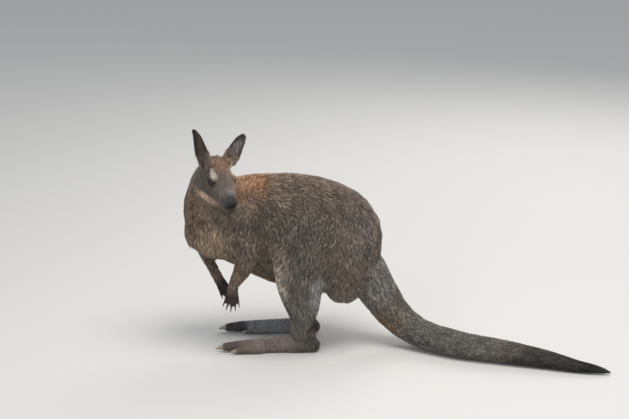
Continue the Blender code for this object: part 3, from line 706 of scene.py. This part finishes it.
# %% Length and width of the tufts
MIDLINE = 0.0519
BODY_TUFT, TAIL_SHORTER, LEG_SHORTER = 0.0150, 0.0040, 0.0040
TAIL_BRUSH = 0.004  # longer at the tail's tip
LONG_FUR = (  # how much longer, at which place, over which oval: chest, belly, rump
    (0.010, (-0.445, 0.020, 0.255), (0.09, 0.10, 0.09)),
    (0.006, (-0.300, 0.050, 0.170), (0.16, 0.12, 0.07)),
    (0.006, (-0.090, 0.050, 0.140), (0.07, 0.10, 0.07)),
)
HEAD_TUFT, FACE_SHORTER = 0.0098, 0.0052
FOOT_TUFT, HAND_TUFT, EAR_TUFT = 0.0078, 0.0060, 0.0052
LEAST_WIDTH, WIDTH_SHARE = 0.00035, 0.055


def tuft_length(points):
    """How long a tuft is at each point."""
    tail = tail_share(points)
    length = BODY_TUFT - TAIL_SHORTER * share_of(tail * 1.6)
    length += TAIL_BRUSH * smoothstep(0.86, 0.98, tail)
    for longer, centre, radii in LONG_FUR:
        length += longer * fade(points, centre, radii)
    low = share_of((0.235 - points[:, 2]) / 0.10) * (points[:, 0] < -0.16)
    length -= low * (np.abs(points[:, 1] - MIDLINE) > 0.030) * LEG_SHORTER
    return with_fine_parts(
        points, length, HEAD_TUFT, FACE_SHORTER, FOOT_TUFT, HAND_TUFT, EAR_TUFT
    )


def tuft_width(length):
    """How wide a tuft of some length is in its middle."""
    return LEAST_WIDTH + WIDTH_SHARE * length


print("longest tuft", round(tuft_length(SKIN_POINTS).max() * 1000, 1), "mm")


# %% [markdown]
# ## The markings
# A red-necked wallaby is grizzled grey-brown, ginger over the nape and shoulders, pale on
# the chest and belly, dark on the muzzle, the hands and the toes. The markings are soft
# ovals of colour laid over one another in order; the pale one over the rump also holds
# painted light from behind. Skin and tufts both ask the same function, so wherever the
# fur parts, the skin under it has the same colour.

# %% Colours laid over one another
GREY_BROWN = (0.200, 0.155, 0.118)
OVAL_GAIN = 1.6
WANDER, WANDER_SIZE = 0.007, 0.045  # how far the edges wander, and over what length
MIRROR = 0.104  # two sides' places across the body add up to this


def paired(name, centre, *rest):
    """A marking and its mirror place on the other side of the body."""
    x, y, z = centre
    return (name + "_near", centre, *rest), (name + "_far", (x, MIRROR - y, z), *rest)


# Name, centre, radii, colour, strength; those of the head in its own directions
MARKINGS = (
    ("back", (-0.200, 0.060, 0.420), (0.200, 0.130, 0.075), (0.250, 0.185, 0.140), 0.70),
    ("nape", (-0.345, 0.035, 0.385), (0.085, 0.110, 0.085), (0.400, 0.200, 0.095), 0.85),
    ("shoulder", (-0.315, 0.010, 0.325), (0.080, 0.110, 0.080), (0.110, 0.092, 0.070), 0.75),
    ("neck", (-0.450, 0.020, 0.350), (0.065, 0.090, 0.110), (0.260, 0.175, 0.115), 0.75),
    ("throat", (-0.425, 0.000, 0.400), (0.045, 0.070, 0.050), (0.160, 0.120, 0.085), 0.60),
    ("chest", (-0.415, -0.005, 0.262), (0.075, 0.095, 0.070), (0.520, 0.385, 0.265), 0.85),
    ("belly", (-0.300, 0.052, 0.135), (0.170, 0.090, 0.080), (0.340, 0.220, 0.150), 0.90),
    ("flank", (-0.205, -0.055, 0.300), (0.100, 0.120, 0.080), (0.120, 0.112, 0.090), 0.70),
    ("flank_far", (-0.205, 0.160, 0.300), (0.100, 0.120, 0.080), (0.120, 0.112, 0.090), 0.70),
    # The rump's pale grey is partly its own grey, partly painted light falling from behind.
    ("haunch_and_backlight", (-0.090, 0.052, 0.280), (0.090, 0.170, 0.125), (0.300, 0.260, 0.230), 0.70),
    *paired("thigh", (-0.195, -0.070, 0.215), (0.075, 0.060, 0.065), (0.190, 0.175, 0.150), 0.60),
    ("rump_fringe", (-0.138, 0.052, 0.120), (0.058, 0.100, 0.036), (0.540, 0.320, 0.190), 0.80),
    *paired("shank", (-0.212, -0.030, 0.120), (0.060, 0.060, 0.110), (0.200, 0.190, 0.168), 0.80),
    *paired("knee", (-0.262, -0.060, 0.185), (0.036, 0.055, 0.085), (0.600, 0.520, 0.430), 0.80),
    *paired("hock", (-0.172, -0.045, 0.150), (0.026, 0.050, 0.075), (0.480, 0.470, 0.460), 0.75),
    ("tail_root", (-0.040, 0.045, 0.160), (0.075, 0.090, 0.110), (0.330, 0.315, 0.300), 0.75),
    ("tail", (0.120, -0.040, 0.040), (0.250, 0.200, 0.120), (0.190, 0.184, 0.162), 0.90),
    ("tail_under", (-0.010, 0.035, 0.050), (0.080, 0.070, 0.050), (0.270, 0.170, 0.090), 0.70),
    ("tail_end", (0.360, -0.130, 0.020), (0.150, 0.120, 0.060), (0.052, 0.052, 0.046), 0.90),
    ("tail_tip", (0.490, -0.185, 0.010), (0.160, 0.130, 0.060), (0.016, 0.017, 0.019), 0.95),
    ("arm_near", (-0.360, -0.045, 0.200), (0.050, 0.050, 0.080), (0.200, 0.130, 0.080), 0.60),
    ("arm_far", (-0.430, 0.070, 0.200), (0.050, 0.050, 0.080), (0.150, 0.100, 0.068), 0.60),
    ("hand_near", (-0.374, -0.054, 0.128), (0.045, 0.045, 0.050), (0.040, 0.026, 0.022), 0.95),
    ("hand_far", (-0.393, 0.038, 0.130), (0.045, 0.045, 0.055), (0.032, 0.020, 0.018), 0.95),
    ("foot_near", (-0.290, -0.018, 0.020), (0.130, 0.050, 0.050), (0.340, 0.265, 0.240), 0.85),
    ("foot_far", (-0.280, 0.122, 0.020), (0.130, 0.050, 0.050), (0.300, 0.320, 0.350), 0.88),
    ("heel_near", (-0.195, -0.018, 0.020), (0.050, 0.050, 0.050), (0.110, 0.105, 0.085), 0.70),
    ("toes_near", (-0.385, -0.020, 0.012), (0.055, 0.060, 0.040), (0.170, 0.120, 0.110), 0.85),
    ("toes_far", (-0.385, 0.122, 0.012), (0.080, 0.060, 0.040), (0.040, 0.036, 0.036), 0.90),
)
HEAD_MARKINGS = (
    ("crown", (-0.035, 0.0, 0.026), (0.055, 0.050, 0.040), (0.290, 0.165, 0.098), 0.90),
    ("face", (0.012, 0.0, -0.002), (0.055, 0.050, 0.040), (0.190, 0.150, 0.125), 0.70),
    ("bridge", (0.040, 0.0, 0.004), (0.030, 0.016, 0.016), (0.270, 0.240, 0.230), 0.60),
    ("cheek", (-0.008, 0.032, -0.018), (0.050, 0.030, 0.034), (0.135, 0.118, 0.098), 0.75),
    ("brow", (-0.010, 0.0275, 0.0150), (0.026, 0.014, 0.0085), (0.800, 0.700, 0.580), 0.95),
    ("eye_ring", (0.002, 0.0310, 0.0010), (0.019, 0.017, 0.010), (0.030, 0.025, 0.022), 0.90),
    ("muzzle", (0.060, 0.0, -0.006), (0.032, 0.034, 0.024), (0.060, 0.056, 0.058), 0.90),
    ("stripe", (0.012, 0.022, -0.0430), (0.056, 0.034, 0.0105), (0.680, 0.470, 0.350), 0.92),
    ("nose", (0.073, 0.0, -0.010), (0.017, 0.018, 0.014), (0.012, 0.011, 0.011), 1.00),
    ("lip", (0.054, 0.016, -0.027), (0.022, 0.014, 0.007), (0.520, 0.430, 0.380), 0.75),
)


def markings(points):
    """The colour of the coat at each point."""
    colour = np.tile(np.array(GREY_BROWN), (len(points), 1))
    wander = np.stack([waves(points, WANDER_SIZE, seed) for seed in (3, 4, 5)], axis=1) * WANDER
    for _, centre, radii, tint, strength in MARKINGS:
        share = inside_oval(points + wander, centre, radii, OVAL_GAIN) * strength
        colour += share[:, None] * (np.array(tint) - colour)
    head = head_places(points + wander * 0.25)
    head[:, 1] = np.abs(head[:, 1])
    on_the_head = inside_oval(points, HEAD_MID, HEAD_REACH, 3.0)
    for _, centre, radii, tint, strength in HEAD_MARKINGS:
        share = inside_oval(head, centre, radii, OVAL_GAIN) * strength * on_the_head
        colour += share[:, None] * (np.array(tint) - colour)
    return colour


print("markings:", len(MARKINGS), "on the body,", len(HEAD_MARKINGS), "on the head")


# %% The ears' colours, and painted shade in the far ear's hollow
EAR_BACK, EAR_EDGE = (0.165, 0.105, 0.068), (0.036, 0.028, 0.025)
# The first inside, of the far left ear, is the purple-grey of its hollow in shade: painted shade.
# The second, of the near right ear, is its brown fur.
EAR_INSIDE_FUR_AND_SHADE = ((0.165, 0.128, 0.132), (0.135, 0.095, 0.068))
EAR_FACES = ((0.66, -0.44), (0.20, 0.95))  # forward and outward shares of each hollow's way
EAR_HALF_WIDTH = 0.0205


def ear_hollow(index):
    """The way an ear's hollow faces."""
    ahead, outward = EAR_FACES[index]
    along = ear_along(index)
    hollow = FORWARD * ahead + LEFTWARD * EAR_SIGNS[index] * outward
    return (hollow - along * hollow.dot(along)).normalized()


def with_ears(points, normals, colour):
    """Adds the ears' ginger roots, insides (the far one's grey is painted shade), dark edges and
    tips.
    """
    share = ear_share(points)
    for index in (0, 1):
        along, hollow = np.array(ear_along(index)), np.array(ear_hollow(index))
        off = points - np.array(EAR_ROOTS[index])
        ahead = off @ along / EAR_LENGTHS[index]
        own = share * (np.linalg.norm(off - np.outer(off @ along, along), axis=1) < EAR_REACH)
        tint = np.tile(np.array(EAR_BACK), (len(points), 1))
        # Where an ear faces its hollow; the far ear's painted shade goes here
        inside = smoothstep(0.1, 0.5, normals @ hollow) * smoothstep(0.25, 0.45, ahead)
        tint += inside[:, None] * (np.array(EAR_INSIDE_FUR_AND_SHADE[index]) - tint)
        aside = np.abs(off @ np.cross(along, hollow))
        half_width = EAR_HALF_WIDTH * np.sqrt(np.clip(1.08 - ahead, 0.02, 1.0))
        edge = smoothstep(0.62, 0.95, aside / half_width)
        edge = np.maximum(edge * smoothstep(0.2, 0.5, ahead), smoothstep(0.74, 0.95, ahead))
        tint += edge[:, None] * (np.array(EAR_EDGE) - tint)
        mix = own * smoothstep(0.18, 0.50, ahead)
        colour = colour + mix[:, None] * (tint - colour)
    return colour


def coat_colour(points, normals):
    """The colour of the whole coat at each point."""
    return with_ears(points, normals, markings(points))


colours = coat_colour(SKIN_POINTS, SKIN_NORMALS)
print("darkest and palest:", colours.min().round(3), colours.max().round(3))

# %% [markdown]
# ## Fur and skin materials
# Both materials start from the painted markings, kept on the mesh as a colour attribute.
# A shared node group breaks the colour up at the scale of single hairs, as grizzled fur
# is broken up by pale and dark bands. The group gives out the colour and a height.

# %% The shared grizzle group
GRIZZLE_SOCKETS = (
    ("Color", "INPUT", "NodeSocketColor"),
    ("Scale", "INPUT", "NodeSocketFloat"),
    ("Depth", "INPUT", "NodeSocketFloat"),
    ("Color", "OUTPUT", "NodeSocketColor"),
    ("Height", "OUTPUT", "NodeSocketFloat"),
)


def grizzle_group():
    """Breaks a colour up with fine noise: colour and height come out."""
    group = bpy.data.node_groups.new("grizzle", "ShaderNodeTree")
    for name, way, kind in GRIZZLE_SOCKETS:
        group.interface.new_socket(name, in_out=way, socket_type=kind)
    nodes, links = group.nodes, group.links
    start = nodes.new("NodeGroupInput")
    end = nodes.new("NodeGroupOutput")
    place = nodes.new("ShaderNodeTexCoord")
    noise = nodes.new("ShaderNodeTexNoise")
    noise.inputs["Detail"].default_value = 3.0
    links.new(place.outputs["Object"], noise.inputs["Vector"])
    links.new(start.outputs["Scale"], noise.inputs["Scale"])
    centred = nodes.new("ShaderNodeMath")  # the noise, less its mean
    centred.operation = "SUBTRACT"
    centred.inputs[1].default_value = 0.5
    links.new(noise.outputs["Fac"], centred.inputs[0])
    deeper = nodes.new("ShaderNodeMath")  # times the depth, plus one
    deeper.operation = "MULTIPLY_ADD"
    deeper.inputs[2].default_value = 1.0
    links.new(centred.outputs["Value"], deeper.inputs[0])
    links.new(start.outputs["Depth"], deeper.inputs[1])
    scaled = nodes.new("ShaderNodeVectorMath")
    scaled.operation = "SCALE"
    links.new(start.outputs["Color"], scaled.inputs[0])
    links.new(deeper.outputs["Value"], scaled.inputs["Scale"])
    links.new(scaled.outputs["Vector"], end.inputs["Color"])
    links.new(noise.outputs["Fac"], end.inputs["Height"])
    return group


GRIZZLE = grizzle_group()
print("grizzle nodes:", len(GRIZZLE.nodes))


# %% Fur and hide
PELT_SPECULAR = 0.25
BUMP_STRENGTH = 0.6
FUR_SHEEN = 0.12


def add_bump(material, height, distance, strength):
    """Raises a surface by the height that a node gives out."""
    nodes, links = material.node_tree.nodes, material.node_tree.links
    raised = nodes.new("ShaderNodeBump")
    raised.inputs["Distance"].default_value = distance
    raised.inputs["Strength"].default_value = strength
    links.new(height, raised.inputs["Height"])
    links.new(raised.outputs["Normal"], nodes["Principled BSDF"].inputs["Normal"])


def pelt_material(name, roughness, scale, depth, bump):
    """A material that reads the painted markings through the grizzle group."""
    material, shader = plain_material(name, GREY_BROWN, roughness)
    shader.inputs["Specular IOR Level"].default_value = PELT_SPECULAR
    nodes, links = material.node_tree.nodes, material.node_tree.links
    painted = nodes.new("ShaderNodeAttribute")
    painted.attribute_name = "pelt"
    broken = nodes.new("ShaderNodeGroup")
    broken.node_tree = GRIZZLE
    broken.inputs["Scale"].default_value = scale
    broken.inputs["Depth"].default_value = depth
    links.new(painted.outputs["Color"], broken.inputs["Color"])
    links.new(broken.outputs["Color"], shader.inputs["Base Color"])
    if bump > 0:
        add_bump(material, broken.outputs["Height"], bump, BUMP_STRENGTH)
    return material, shader


fur_material, fur_shader = pelt_material("fur", 0.72, 420.0, 0.9, 0.0)
fur_shader.inputs["Sheen Weight"].default_value = FUR_SHEEN
hide_material, _ = pelt_material("hide", 0.62, 900.0, 0.8, 0.0006)
print("materials:", fur_material.name, hide_material.name)

# %% [markdown]
# ## Bare skin
# The pad of the nose, the rims of the lids and the soles carry no tufts. There the skin
# itself shows, dark and finely pitted.

# %% Where no fur grows
SOLE_LEVEL = 0.0035
LID_RIM, LID_REACH = 0.16, 1.5  # in eye radii
NOSE_PAD = ((0.0740, 0.0, -0.0100), (0.0150, 0.0135, 0.0100))
HIDE_SHADE = 0.62
BARE_FACE, BARE_BODY = (0.014, 0.012, 0.012), (0.060, 0.045, 0.040)
FACE_LIMIT = -0.02  # ahead of this place on the head, bare skin has the face's colour


def bare_share(points, normals):
    """1 where no fur grows, 0 in full fur."""
    bare = np.zeros(len(points))
    for sign in (1, -1):
        outside, reach, _ = eye_opening(points, sign)
        bare = np.maximum(bare, (outside < LID_RIM) * (reach < EYE_RADIUS * LID_REACH))
    pad = fade(head_places(points), *NOSE_PAD)
    bare = np.maximum(bare, share_of(pad * 4.0 - 0.4))
    soles = (points[:, 2] < SOLE_LEVEL) & (normals[:, 2] < -0.5)
    return np.maximum(bare, soles)


def hide_colour(points, normals):
    """The skin's colour: the markings, a little darker, and the bare places."""
    colour = coat_colour(points, normals) * HIDE_SHADE
    bare = bare_share(points, normals)[:, None]
    on_face = head_places(points)[:, :1] > FACE_LIMIT
    dark = np.where(on_face, np.array(BARE_FACE), np.array(BARE_BODY))
    return colour + bare * (dark - colour)


def paint(mesh, colour):
    """Keeps one colour for each point of a mesh."""
    layer = mesh.attributes.new("pelt", "FLOAT_COLOR", "POINT")
    opaque = np.column_stack((colour, np.ones(len(colour))))
    layer.data.foreach_set("color", opaque.astype(np.float32).ravel())


paint(skin.data, hide_colour(SKIN_POINTS, SKIN_NORMALS))
skin.data.materials.append(hide_material)
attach(skin, "root")
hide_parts(*FLESH)
print(skin.name, "replaces", len(FLESH), "solids")

# %% [markdown]
# ## A tuft
# Each tuft is a small closed spike with three sides: a root sunk in the skin, a broader
# middle and a pointed tip. Seven points are few enough to repeat a hundred thousand
# times. The fur of one part is a single joined mesh, built from arrays.

# %% Scatter the roots
LAYERS = 3.0  # tufts that overlap at each place
UNWRAP_ANGLE, ISLAND_MARGIN = math.radians(66), 0.002


def unwrap(chosen):
    """Unwraps some faces of the skin by their own shape: a place for each corner."""
    used, local = np.unique(SKIN_FACES[chosen], return_inverse=True)
    mesh = bpy.data.meshes.new("patch")
    mesh.from_pydata(SKIN_POINTS[used].tolist(), [], local.reshape(-1, 3).tolist())
    patch = new_object("patch", mesh)
    deselect_all()
    patch.select_set(True)
    bpy.context.view_layer.objects.active = patch
    bpy.ops.object.mode_set(mode="EDIT")
    bpy.ops.mesh.select_all(action="SELECT")
    bpy.ops.uv.smart_project(angle_limit=UNWRAP_ANGLE, island_margin=ISLAND_MARGIN)
    bpy.ops.object.mode_set(mode="OBJECT")
    spots = np.empty(len(mesh.loops) * 2, np.float32)
    mesh.uv_layers.active.data.foreach_get("uv", spots)
    bpy.data.objects.remove(patch)
    bpy.data.meshes.remove(mesh)
    return spots.reshape(-1, 3, 2)


def mixed(values, weights):
    """Values inside triangles, from the values at their corners."""
    return np.einsum("nc,ncd->nd", weights, values)


def scatter(chosen, dice):
    """Roots spread over some faces, closer together where tufts are smaller."""
    corners = SKIN_FACES[chosen]
    a, b, c = (SKIN_POINTS[corners[:, i]] for i in range(3))
    areas = 0.5 * np.linalg.norm(np.cross(b - a, c - a), axis=1)
    lengths = tuft_length((a + b + c) / 3.0)
    wanted = np.cumsum(areas * LAYERS / (lengths * tuft_width(lengths)))
    count = int(wanted[-1])
    marks = (np.arange(count) + dice.random(count)) / count * wanted[-1]
    picked = np.minimum(np.searchsorted(wanted, marks), len(chosen) - 1)
    edge = np.sqrt(dice.random(count))
    turn = dice.random(count)
    weights = np.column_stack((1.0 - edge, edge * (1.0 - turn), edge * turn))
    roots = mixed(SKIN_POINTS[corners[picked]], weights)
    normals = unit(mixed(SKIN_NORMALS[corners[picked]], weights))
    spots = mixed(unwrap(chosen)[picked], weights)
    grown = dice.random(count) >= bare_share(roots, normals)
    return roots[grown], normals[grown], spots[grown]


print("layers of fur:", LAYERS)

# %% Join the tufts in one mesh
TUFT_FACES = ((0, 1, 2), (0, 2, 5, 3), (2, 1, 4, 5), (1, 0, 3, 4), (3, 5, 6), (5, 4, 6), (4, 3, 6))
TUFT_POINTS = 7
TUFT_TRIANGLES = sum(len(face) - 2 for face in TUFT_FACES)
TUFT_SPOTS = np.array(
    ((-1.0, -1.0), (-1.0, 1.0), (-0.6, 0.0), (0.1, -1.0), (0.1, 1.0), (0.3, 0.0), (1.0, 0.0))
)
SPOT_REACH = 0.0015  # half the size of a tuft's patch on the unwrap


def joined_tufts(name, points, spots):
    """One mesh from many tufts, each with its own patch of the unwrap."""
    count = len(points)
    flat = np.array([corner for face in TUFT_FACES for corner in face], np.int32)
    sizes = np.array([len(face) for face in TUFT_FACES], np.int32)
    loops = (np.arange(count, dtype=np.int32)[:, None] * TUFT_POINTS + flat[None, :]).ravel()
    totals = np.tile(sizes, count)
    starts = np.concatenate(([0], np.cumsum(totals)[:-1])).astype(np.int32)
    mesh = bpy.data.meshes.new(name)
    mesh.vertices.add(count * TUFT_POINTS)
    mesh.vertices.foreach_set("co", points.astype(np.float32).ravel())
    mesh.loops.add(len(loops))
    mesh.loops.foreach_set("vertex_index", loops)
    mesh.polygons.add(len(totals))
    mesh.polygons.foreach_set("loop_start", starts)
    mesh.polygons.foreach_set("use_smooth", np.ones(len(totals), bool))
    mesh.update(calc_edges=True)
    layer = mesh.uv_layers.new(name="OFBake")
    layer.data.foreach_set("uv", spots.reshape(-1, 2)[loops].astype(np.float32).ravel())
    return mesh


print("triangles in a tuft:", TUFT_TRIANGLES)

# %% Shape the tufts of one part
SINK = 0.0005  # how far a root goes into the skin
FLOOR_GAP, FLOOR_STEP = 0.0003, 0.00004  # lowest level of a tuft's first point, and of the next
TURN_WAVE, TURN_SPREAD = (0.035, 0.20), 0.15  # waves and scatter of the fur's direction, radians
LENGTH_SPREAD, WIDTH_SPREAD = (0.75, 1.18), (0.8, 1.2)
RISE_SPREAD, MOST_RISE = (0.55, 0.98), 0.36  # in coat depths, and in tuft lengths
TIP_REACH = 0.97
MIDDLE_AT, MIDDLE_ARCH, THICKNESS = 0.45, 0.38, 0.38
ROOT_WIDTH, ROOT_HEIGHT = 0.6, 0.8
LEAST_LOCK, LOCK_SHARE = 0.0022, 0.36  # size of a lock: metres, and tuft lengths
SHORT_TUFT, LONGER_BY, LOCK_PULL = 0.006, 0.008, 0.35  # short tufts don't join in locks


def clump(tips, roots, size, pull):
    """Draws neighbouring tips together in locks."""
    cells = np.floor(roots / size).astype(np.int64)
    _, own = np.unique(cells, axis=0, return_inverse=True)
    own = own.ravel()
    total = np.bincount(own)
    middle = np.stack([np.bincount(own, weights=tips[:, i]) / total for i in range(3)], axis=1)
    return tips + (middle[own] - tips) * pull[:, None]


def grow_coat(name, chosen, seed):
    """Grows the fur of one part of the body."""
    dice = np.random.default_rng(seed)
    roots, normals, spots = scatter(chosen, dice)
    count = len(roots)
    along = lie(roots, normals)
    aside = np.cross(normals, along)
    turn = waves(roots, TURN_WAVE[0], 11) * TURN_WAVE[1] + dice.normal(0.0, TURN_SPREAD, count)
    along = along * np.cos(turn)[:, None] + aside * np.sin(turn)[:, None]
    aside = np.cross(normals, along)
    length = tuft_length(roots) * dice.uniform(*LENGTH_SPREAD, count)
    width = tuft_width(length) * dice.uniform(*WIDTH_SPREAD, count)
    rise = np.minimum(coat_depth(roots) * dice.uniform(*RISE_SPREAD, count), length * MOST_RISE)
    tips = roots + along * (length * TIP_REACH)[:, None] + normals * rise[:, None]
    lock = max(LEAST_LOCK, float(length.mean()) * LOCK_SHARE)
    tips = clump(tips, roots, lock, share_of((length - SHORT_TUFT) / LONGER_BY) * LOCK_PULL)
    bases = roots - normals * SINK
    middles = roots + (tips - roots) * MIDDLE_AT + normals * (rise * MIDDLE_ARCH)[:, None]
    half = aside * (width * 0.5)[:, None]
    up = normals * (width * THICKNESS)[:, None]
    root_ring = (bases + half * ROOT_WIDTH, bases - half * ROOT_WIDTH, bases + up * ROOT_HEIGHT)
    points = np.stack((*root_ring, middles + half, middles - half, middles + up, tips), axis=1)
    levels = FLOOR_GAP + np.arange(TUFT_POINTS) * FLOOR_STEP
    points[:, :, 2] = np.maximum(points[:, :, 2], levels)
    patches = spots[:, None, :] + TUFT_SPOTS[None] * SPOT_REACH
    mesh = joined_tufts(name, points, patches)
    paint(mesh, tuft_colours(roots, normals, dice).reshape(-1, 3))
    mesh.materials.append(fur_material)
    coat = new_object(name, mesh)
    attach(coat, "root")
    print(name, count, "tufts,", count * TUFT_TRIANGLES, "triangles")
    return count


print("a root lies", SINK * 1000, "mm under the skin")

# %% Colour the tufts
PLAINER = 0.5  # how much less grizzled the chest, the head and the feet are
LEAST_GRIZZLE = 0.45
DARK_TIPS, PALE_TIPS = (0.34, 0.25), (0.70, 2.30)  # up to or from which draw, and how bright
BAND_WAVE = (0.025, 0.10)
SHADE_SPREAD, SHADE_LIMITS = (0.70, 1.30), (0.35, 2.2)
FINE_WAVE, BROAD_WAVE = 0.32, 0.22
ROOT_SHADE, MIDDLE_BAND = 0.55, 0.35


def grizzle_share(points):
    """How strongly the fur is grizzled: most on the back and the flanks."""
    share = np.full(len(points), 1.0)
    share -= PLAINER * fade(points, (-0.455, 0.045, 0.255), (0.10, 0.12, 0.10))
    share -= PLAINER * inside_oval(points, HEAD_MID, *HEAD_OVAL)
    for foot in FEET:
        share -= PLAINER * inside_oval(points, foot, *FOOT_OVAL)
    return np.clip(share, LEAST_GRIZZLE, 1.0)


def tuft_colours(roots, normals, dice):
    """Seven colours a tuft: dark at the root, banded and dark or pale at the tip."""
    colour = coat_colour(roots, normals)
    count = len(roots)
    share = grizzle_share(roots)
    kind = dice.random(count) + BAND_WAVE[1] * waves(roots, BAND_WAVE[0], 21)
    tip = np.where(kind > PALE_TIPS[0], PALE_TIPS[1], 1.0)
    tip = np.where(kind < DARK_TIPS[0], DARK_TIPS[1], tip)
    tip = 1.0 + (tip - 1.0) * share
    fine = waves(roots, 0.0075, 31) + waves(roots, 0.0048, 32)
    broad = waves(roots, 0.030, 33)
    uneven = 1.0 + share * (FINE_WAVE * fine + BROAD_WAVE * broad)
    shade = np.clip(dice.uniform(*SHADE_SPREAD, count) * uneven, *SHADE_LIMITS)
    root_colour = colour * (ROOT_SHADE * shade)[:, None]
    middle_colour = colour * (shade * (1.0 + MIDDLE_BAND * (tip - 1.0)))[:, None]
    tip_colour = colour * (shade * tip)[:, None]
    return np.stack((root_colour,) * 3 + (middle_colour,) * 3 + (tip_colour,), axis=1)


print("dark tips:", DARK_TIPS[0], "pale tips:", round(1.0 - PALE_TIPS[0], 2))

# %% [markdown]
# ## The coat, part by part
# A part with more fur than one mesh should hold is split at the animal's midline. The
# tufts overlap across every split, so no line shows.

# %% Grow the coat
COAT = (
    ("coat_head_left", ("head",), 1),
    ("coat_head_right", ("head",), -1),
    ("coat_ears", ("ear_left", "ear_right"), 0),
    ("coat_neck", ("neck",), 0),
    ("coat_chest", ("chest",), 0),
    ("coat_trunk_left", ("trunk",), 1),
    ("coat_trunk_right", ("trunk",), -1),
    ("coat_rump", ("rump",), 0),
    ("coat_tail_root", ("tail_1", "tail_2"), 0),
    ("coat_tail_end", ("tail_3", "tail_4", "tail_5"), 0),
    ("coat_thigh_left", ("thigh_left",), 0),
    ("coat_thigh_right", ("thigh_right",), 0),
    ("coat_leg_left", ("shank_left", "foot_left"), 0),
    ("coat_leg_right", ("shank_right", "foot_right"), 0),
    ("coat_arms", ("upper_arm_left", "upper_arm_right", "forearm_left", "forearm_right"), 0),
    ("coat_hands", ("hand_left", "hand_right"), 0),
)
FIRST_SEED = 100

head_left = head_places(middles)[:, 1] > 0
on_left = np.where(FACE_PARTS == "head", head_left, middles[:, 1] < MIDLINE)
tufts = 0
for index, (name, parts, half) in enumerate(COAT):
    chosen = np.isin(FACE_PARTS, parts)
    if half:
        chosen &= on_left if half > 0 else ~on_left
    tufts += grow_coat(name, np.nonzero(chosen)[0], FIRST_SEED + index)
print("all tufts:", tufts, "triangles:", tufts * TUFT_TRIANGLES)

# %% [markdown]
# ## Eyes
# A wallaby's eye is a dark ball with a clear bulge in front and a wide pupil. A sphere
# turned to look along the eye's own direction gives rings around the pupil, so the iris
# can be painted ring by ring, and a clear coat on the material gives the wet shine.

# %% Two eyeballs
CORNEA_RISE = 0.0007
PUPIL, IRIS = 0.52, 0.95  # radians from the middle of the eye
BLACK, BROWN, RIND = (0.004, 0.004, 0.005), (0.022, 0.011, 0.007), (0.016, 0.012, 0.011)
SEGMENTS, RINGS = 40, 24
eye_material, eye_shader = pelt_material("eye", 0.22, 1500.0, 0.8, 0.0)
eye_shader.inputs["Coat Weight"].default_value = 0.35
eye_shader.inputs["Coat Roughness"].default_value = 0.03

for side, sign in (("left", 1), ("right", -1)):
    gaze = eye_axes(sign)[0]
    deselect_all()
    bpy.ops.mesh.primitive_uv_sphere_add(segments=SEGMENTS, ring_count=RINGS, radius=EYE_RADIUS)
    ball = bpy.context.object
    ball.name = "eyeball_" + side
    ball.rotation_euler = gaze.to_track_quat("Z", "Y").to_euler()
    ball.location = eye_centre(sign)
    bpy.ops.object.transform_apply(location=True, rotation=True, scale=True)
    bpy.ops.object.shade_smooth()
    points = point_places(ball.data)
    outward = unit(points - np.array(eye_centre(sign)))
    angle = np.arccos(np.clip(outward @ np.array(gaze), -1.0, 1.0))
    points += outward * (CORNEA_RISE * smoothstep(IRIS, 0.0, angle))[:, None]
    move_points(ball.data, points)
    colour = np.where((angle < PUPIL)[:, None], np.array(BLACK), np.array(BROWN))
    colour = np.where((angle > IRIS)[:, None], np.array(RIND), colour)
    paint(ball.data, colour)
    ball.data.materials.append(eye_material)
    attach(ball, "root")
    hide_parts("eye_" + side)
    print(ball.name, "points:", len(ball.data.vertices))

# %% [markdown]
# ## Claws
# The claws keep the solids' own shape. Horn is darker at the root and has fine streaks,
# so its material mixes two browns by a noise that the shared group gives out.

# %% Horn
HORN_ROUGHNESS, STREAK_SCALE = 0.38, 260.0
RIDGE_HEIGHT, RIDGE_STRENGTH = 0.0003, 0.4


def horn_material(name, dark, pale):
    """Horn in two browns."""
    material, shader = plain_material(name, dark, HORN_ROUGHNESS)
    nodes, links = material.node_tree.nodes, material.node_tree.links
    streaks = nodes.new("ShaderNodeGroup")
    streaks.node_tree = GRIZZLE
    streaks.inputs["Scale"].default_value = STREAK_SCALE
    browns = nodes.new("ShaderNodeMix")
    browns.data_type = "RGBA"
    browns.inputs[6].default_value = (*dark, 1.0)
    browns.inputs[7].default_value = (*pale, 1.0)
    links.new(streaks.outputs["Height"], browns.inputs[0])
    links.new(browns.outputs[2], shader.inputs["Base Color"])
    add_bump(material, streaks.outputs["Height"], RIDGE_HEIGHT, RIDGE_STRENGTH)
    return material


foot_horn = horn_material("foot_horn", (0.110, 0.075, 0.055), (0.420, 0.320, 0.240))
hand_horn = horn_material("hand_horn", (0.020, 0.016, 0.015), (0.070, 0.055, 0.048))
for name in CLAWS:
    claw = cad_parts[name]
    claw.data.materials.clear()
    claw.data.materials.append(foot_horn if "foot" in name else hand_horn)
print("claws:", len(CLAWS))

# %% [markdown]
# ## Print the size and finish
# The dressed animal should fill the outline and not leave it.

# %% Print both boxes and finish
final_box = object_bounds()
boxes = {"cad": cad_box, "visual": final_box}
for name, box in boxes.items():
    print(name, [[round(v, 4) for v in corner] for corner in box])
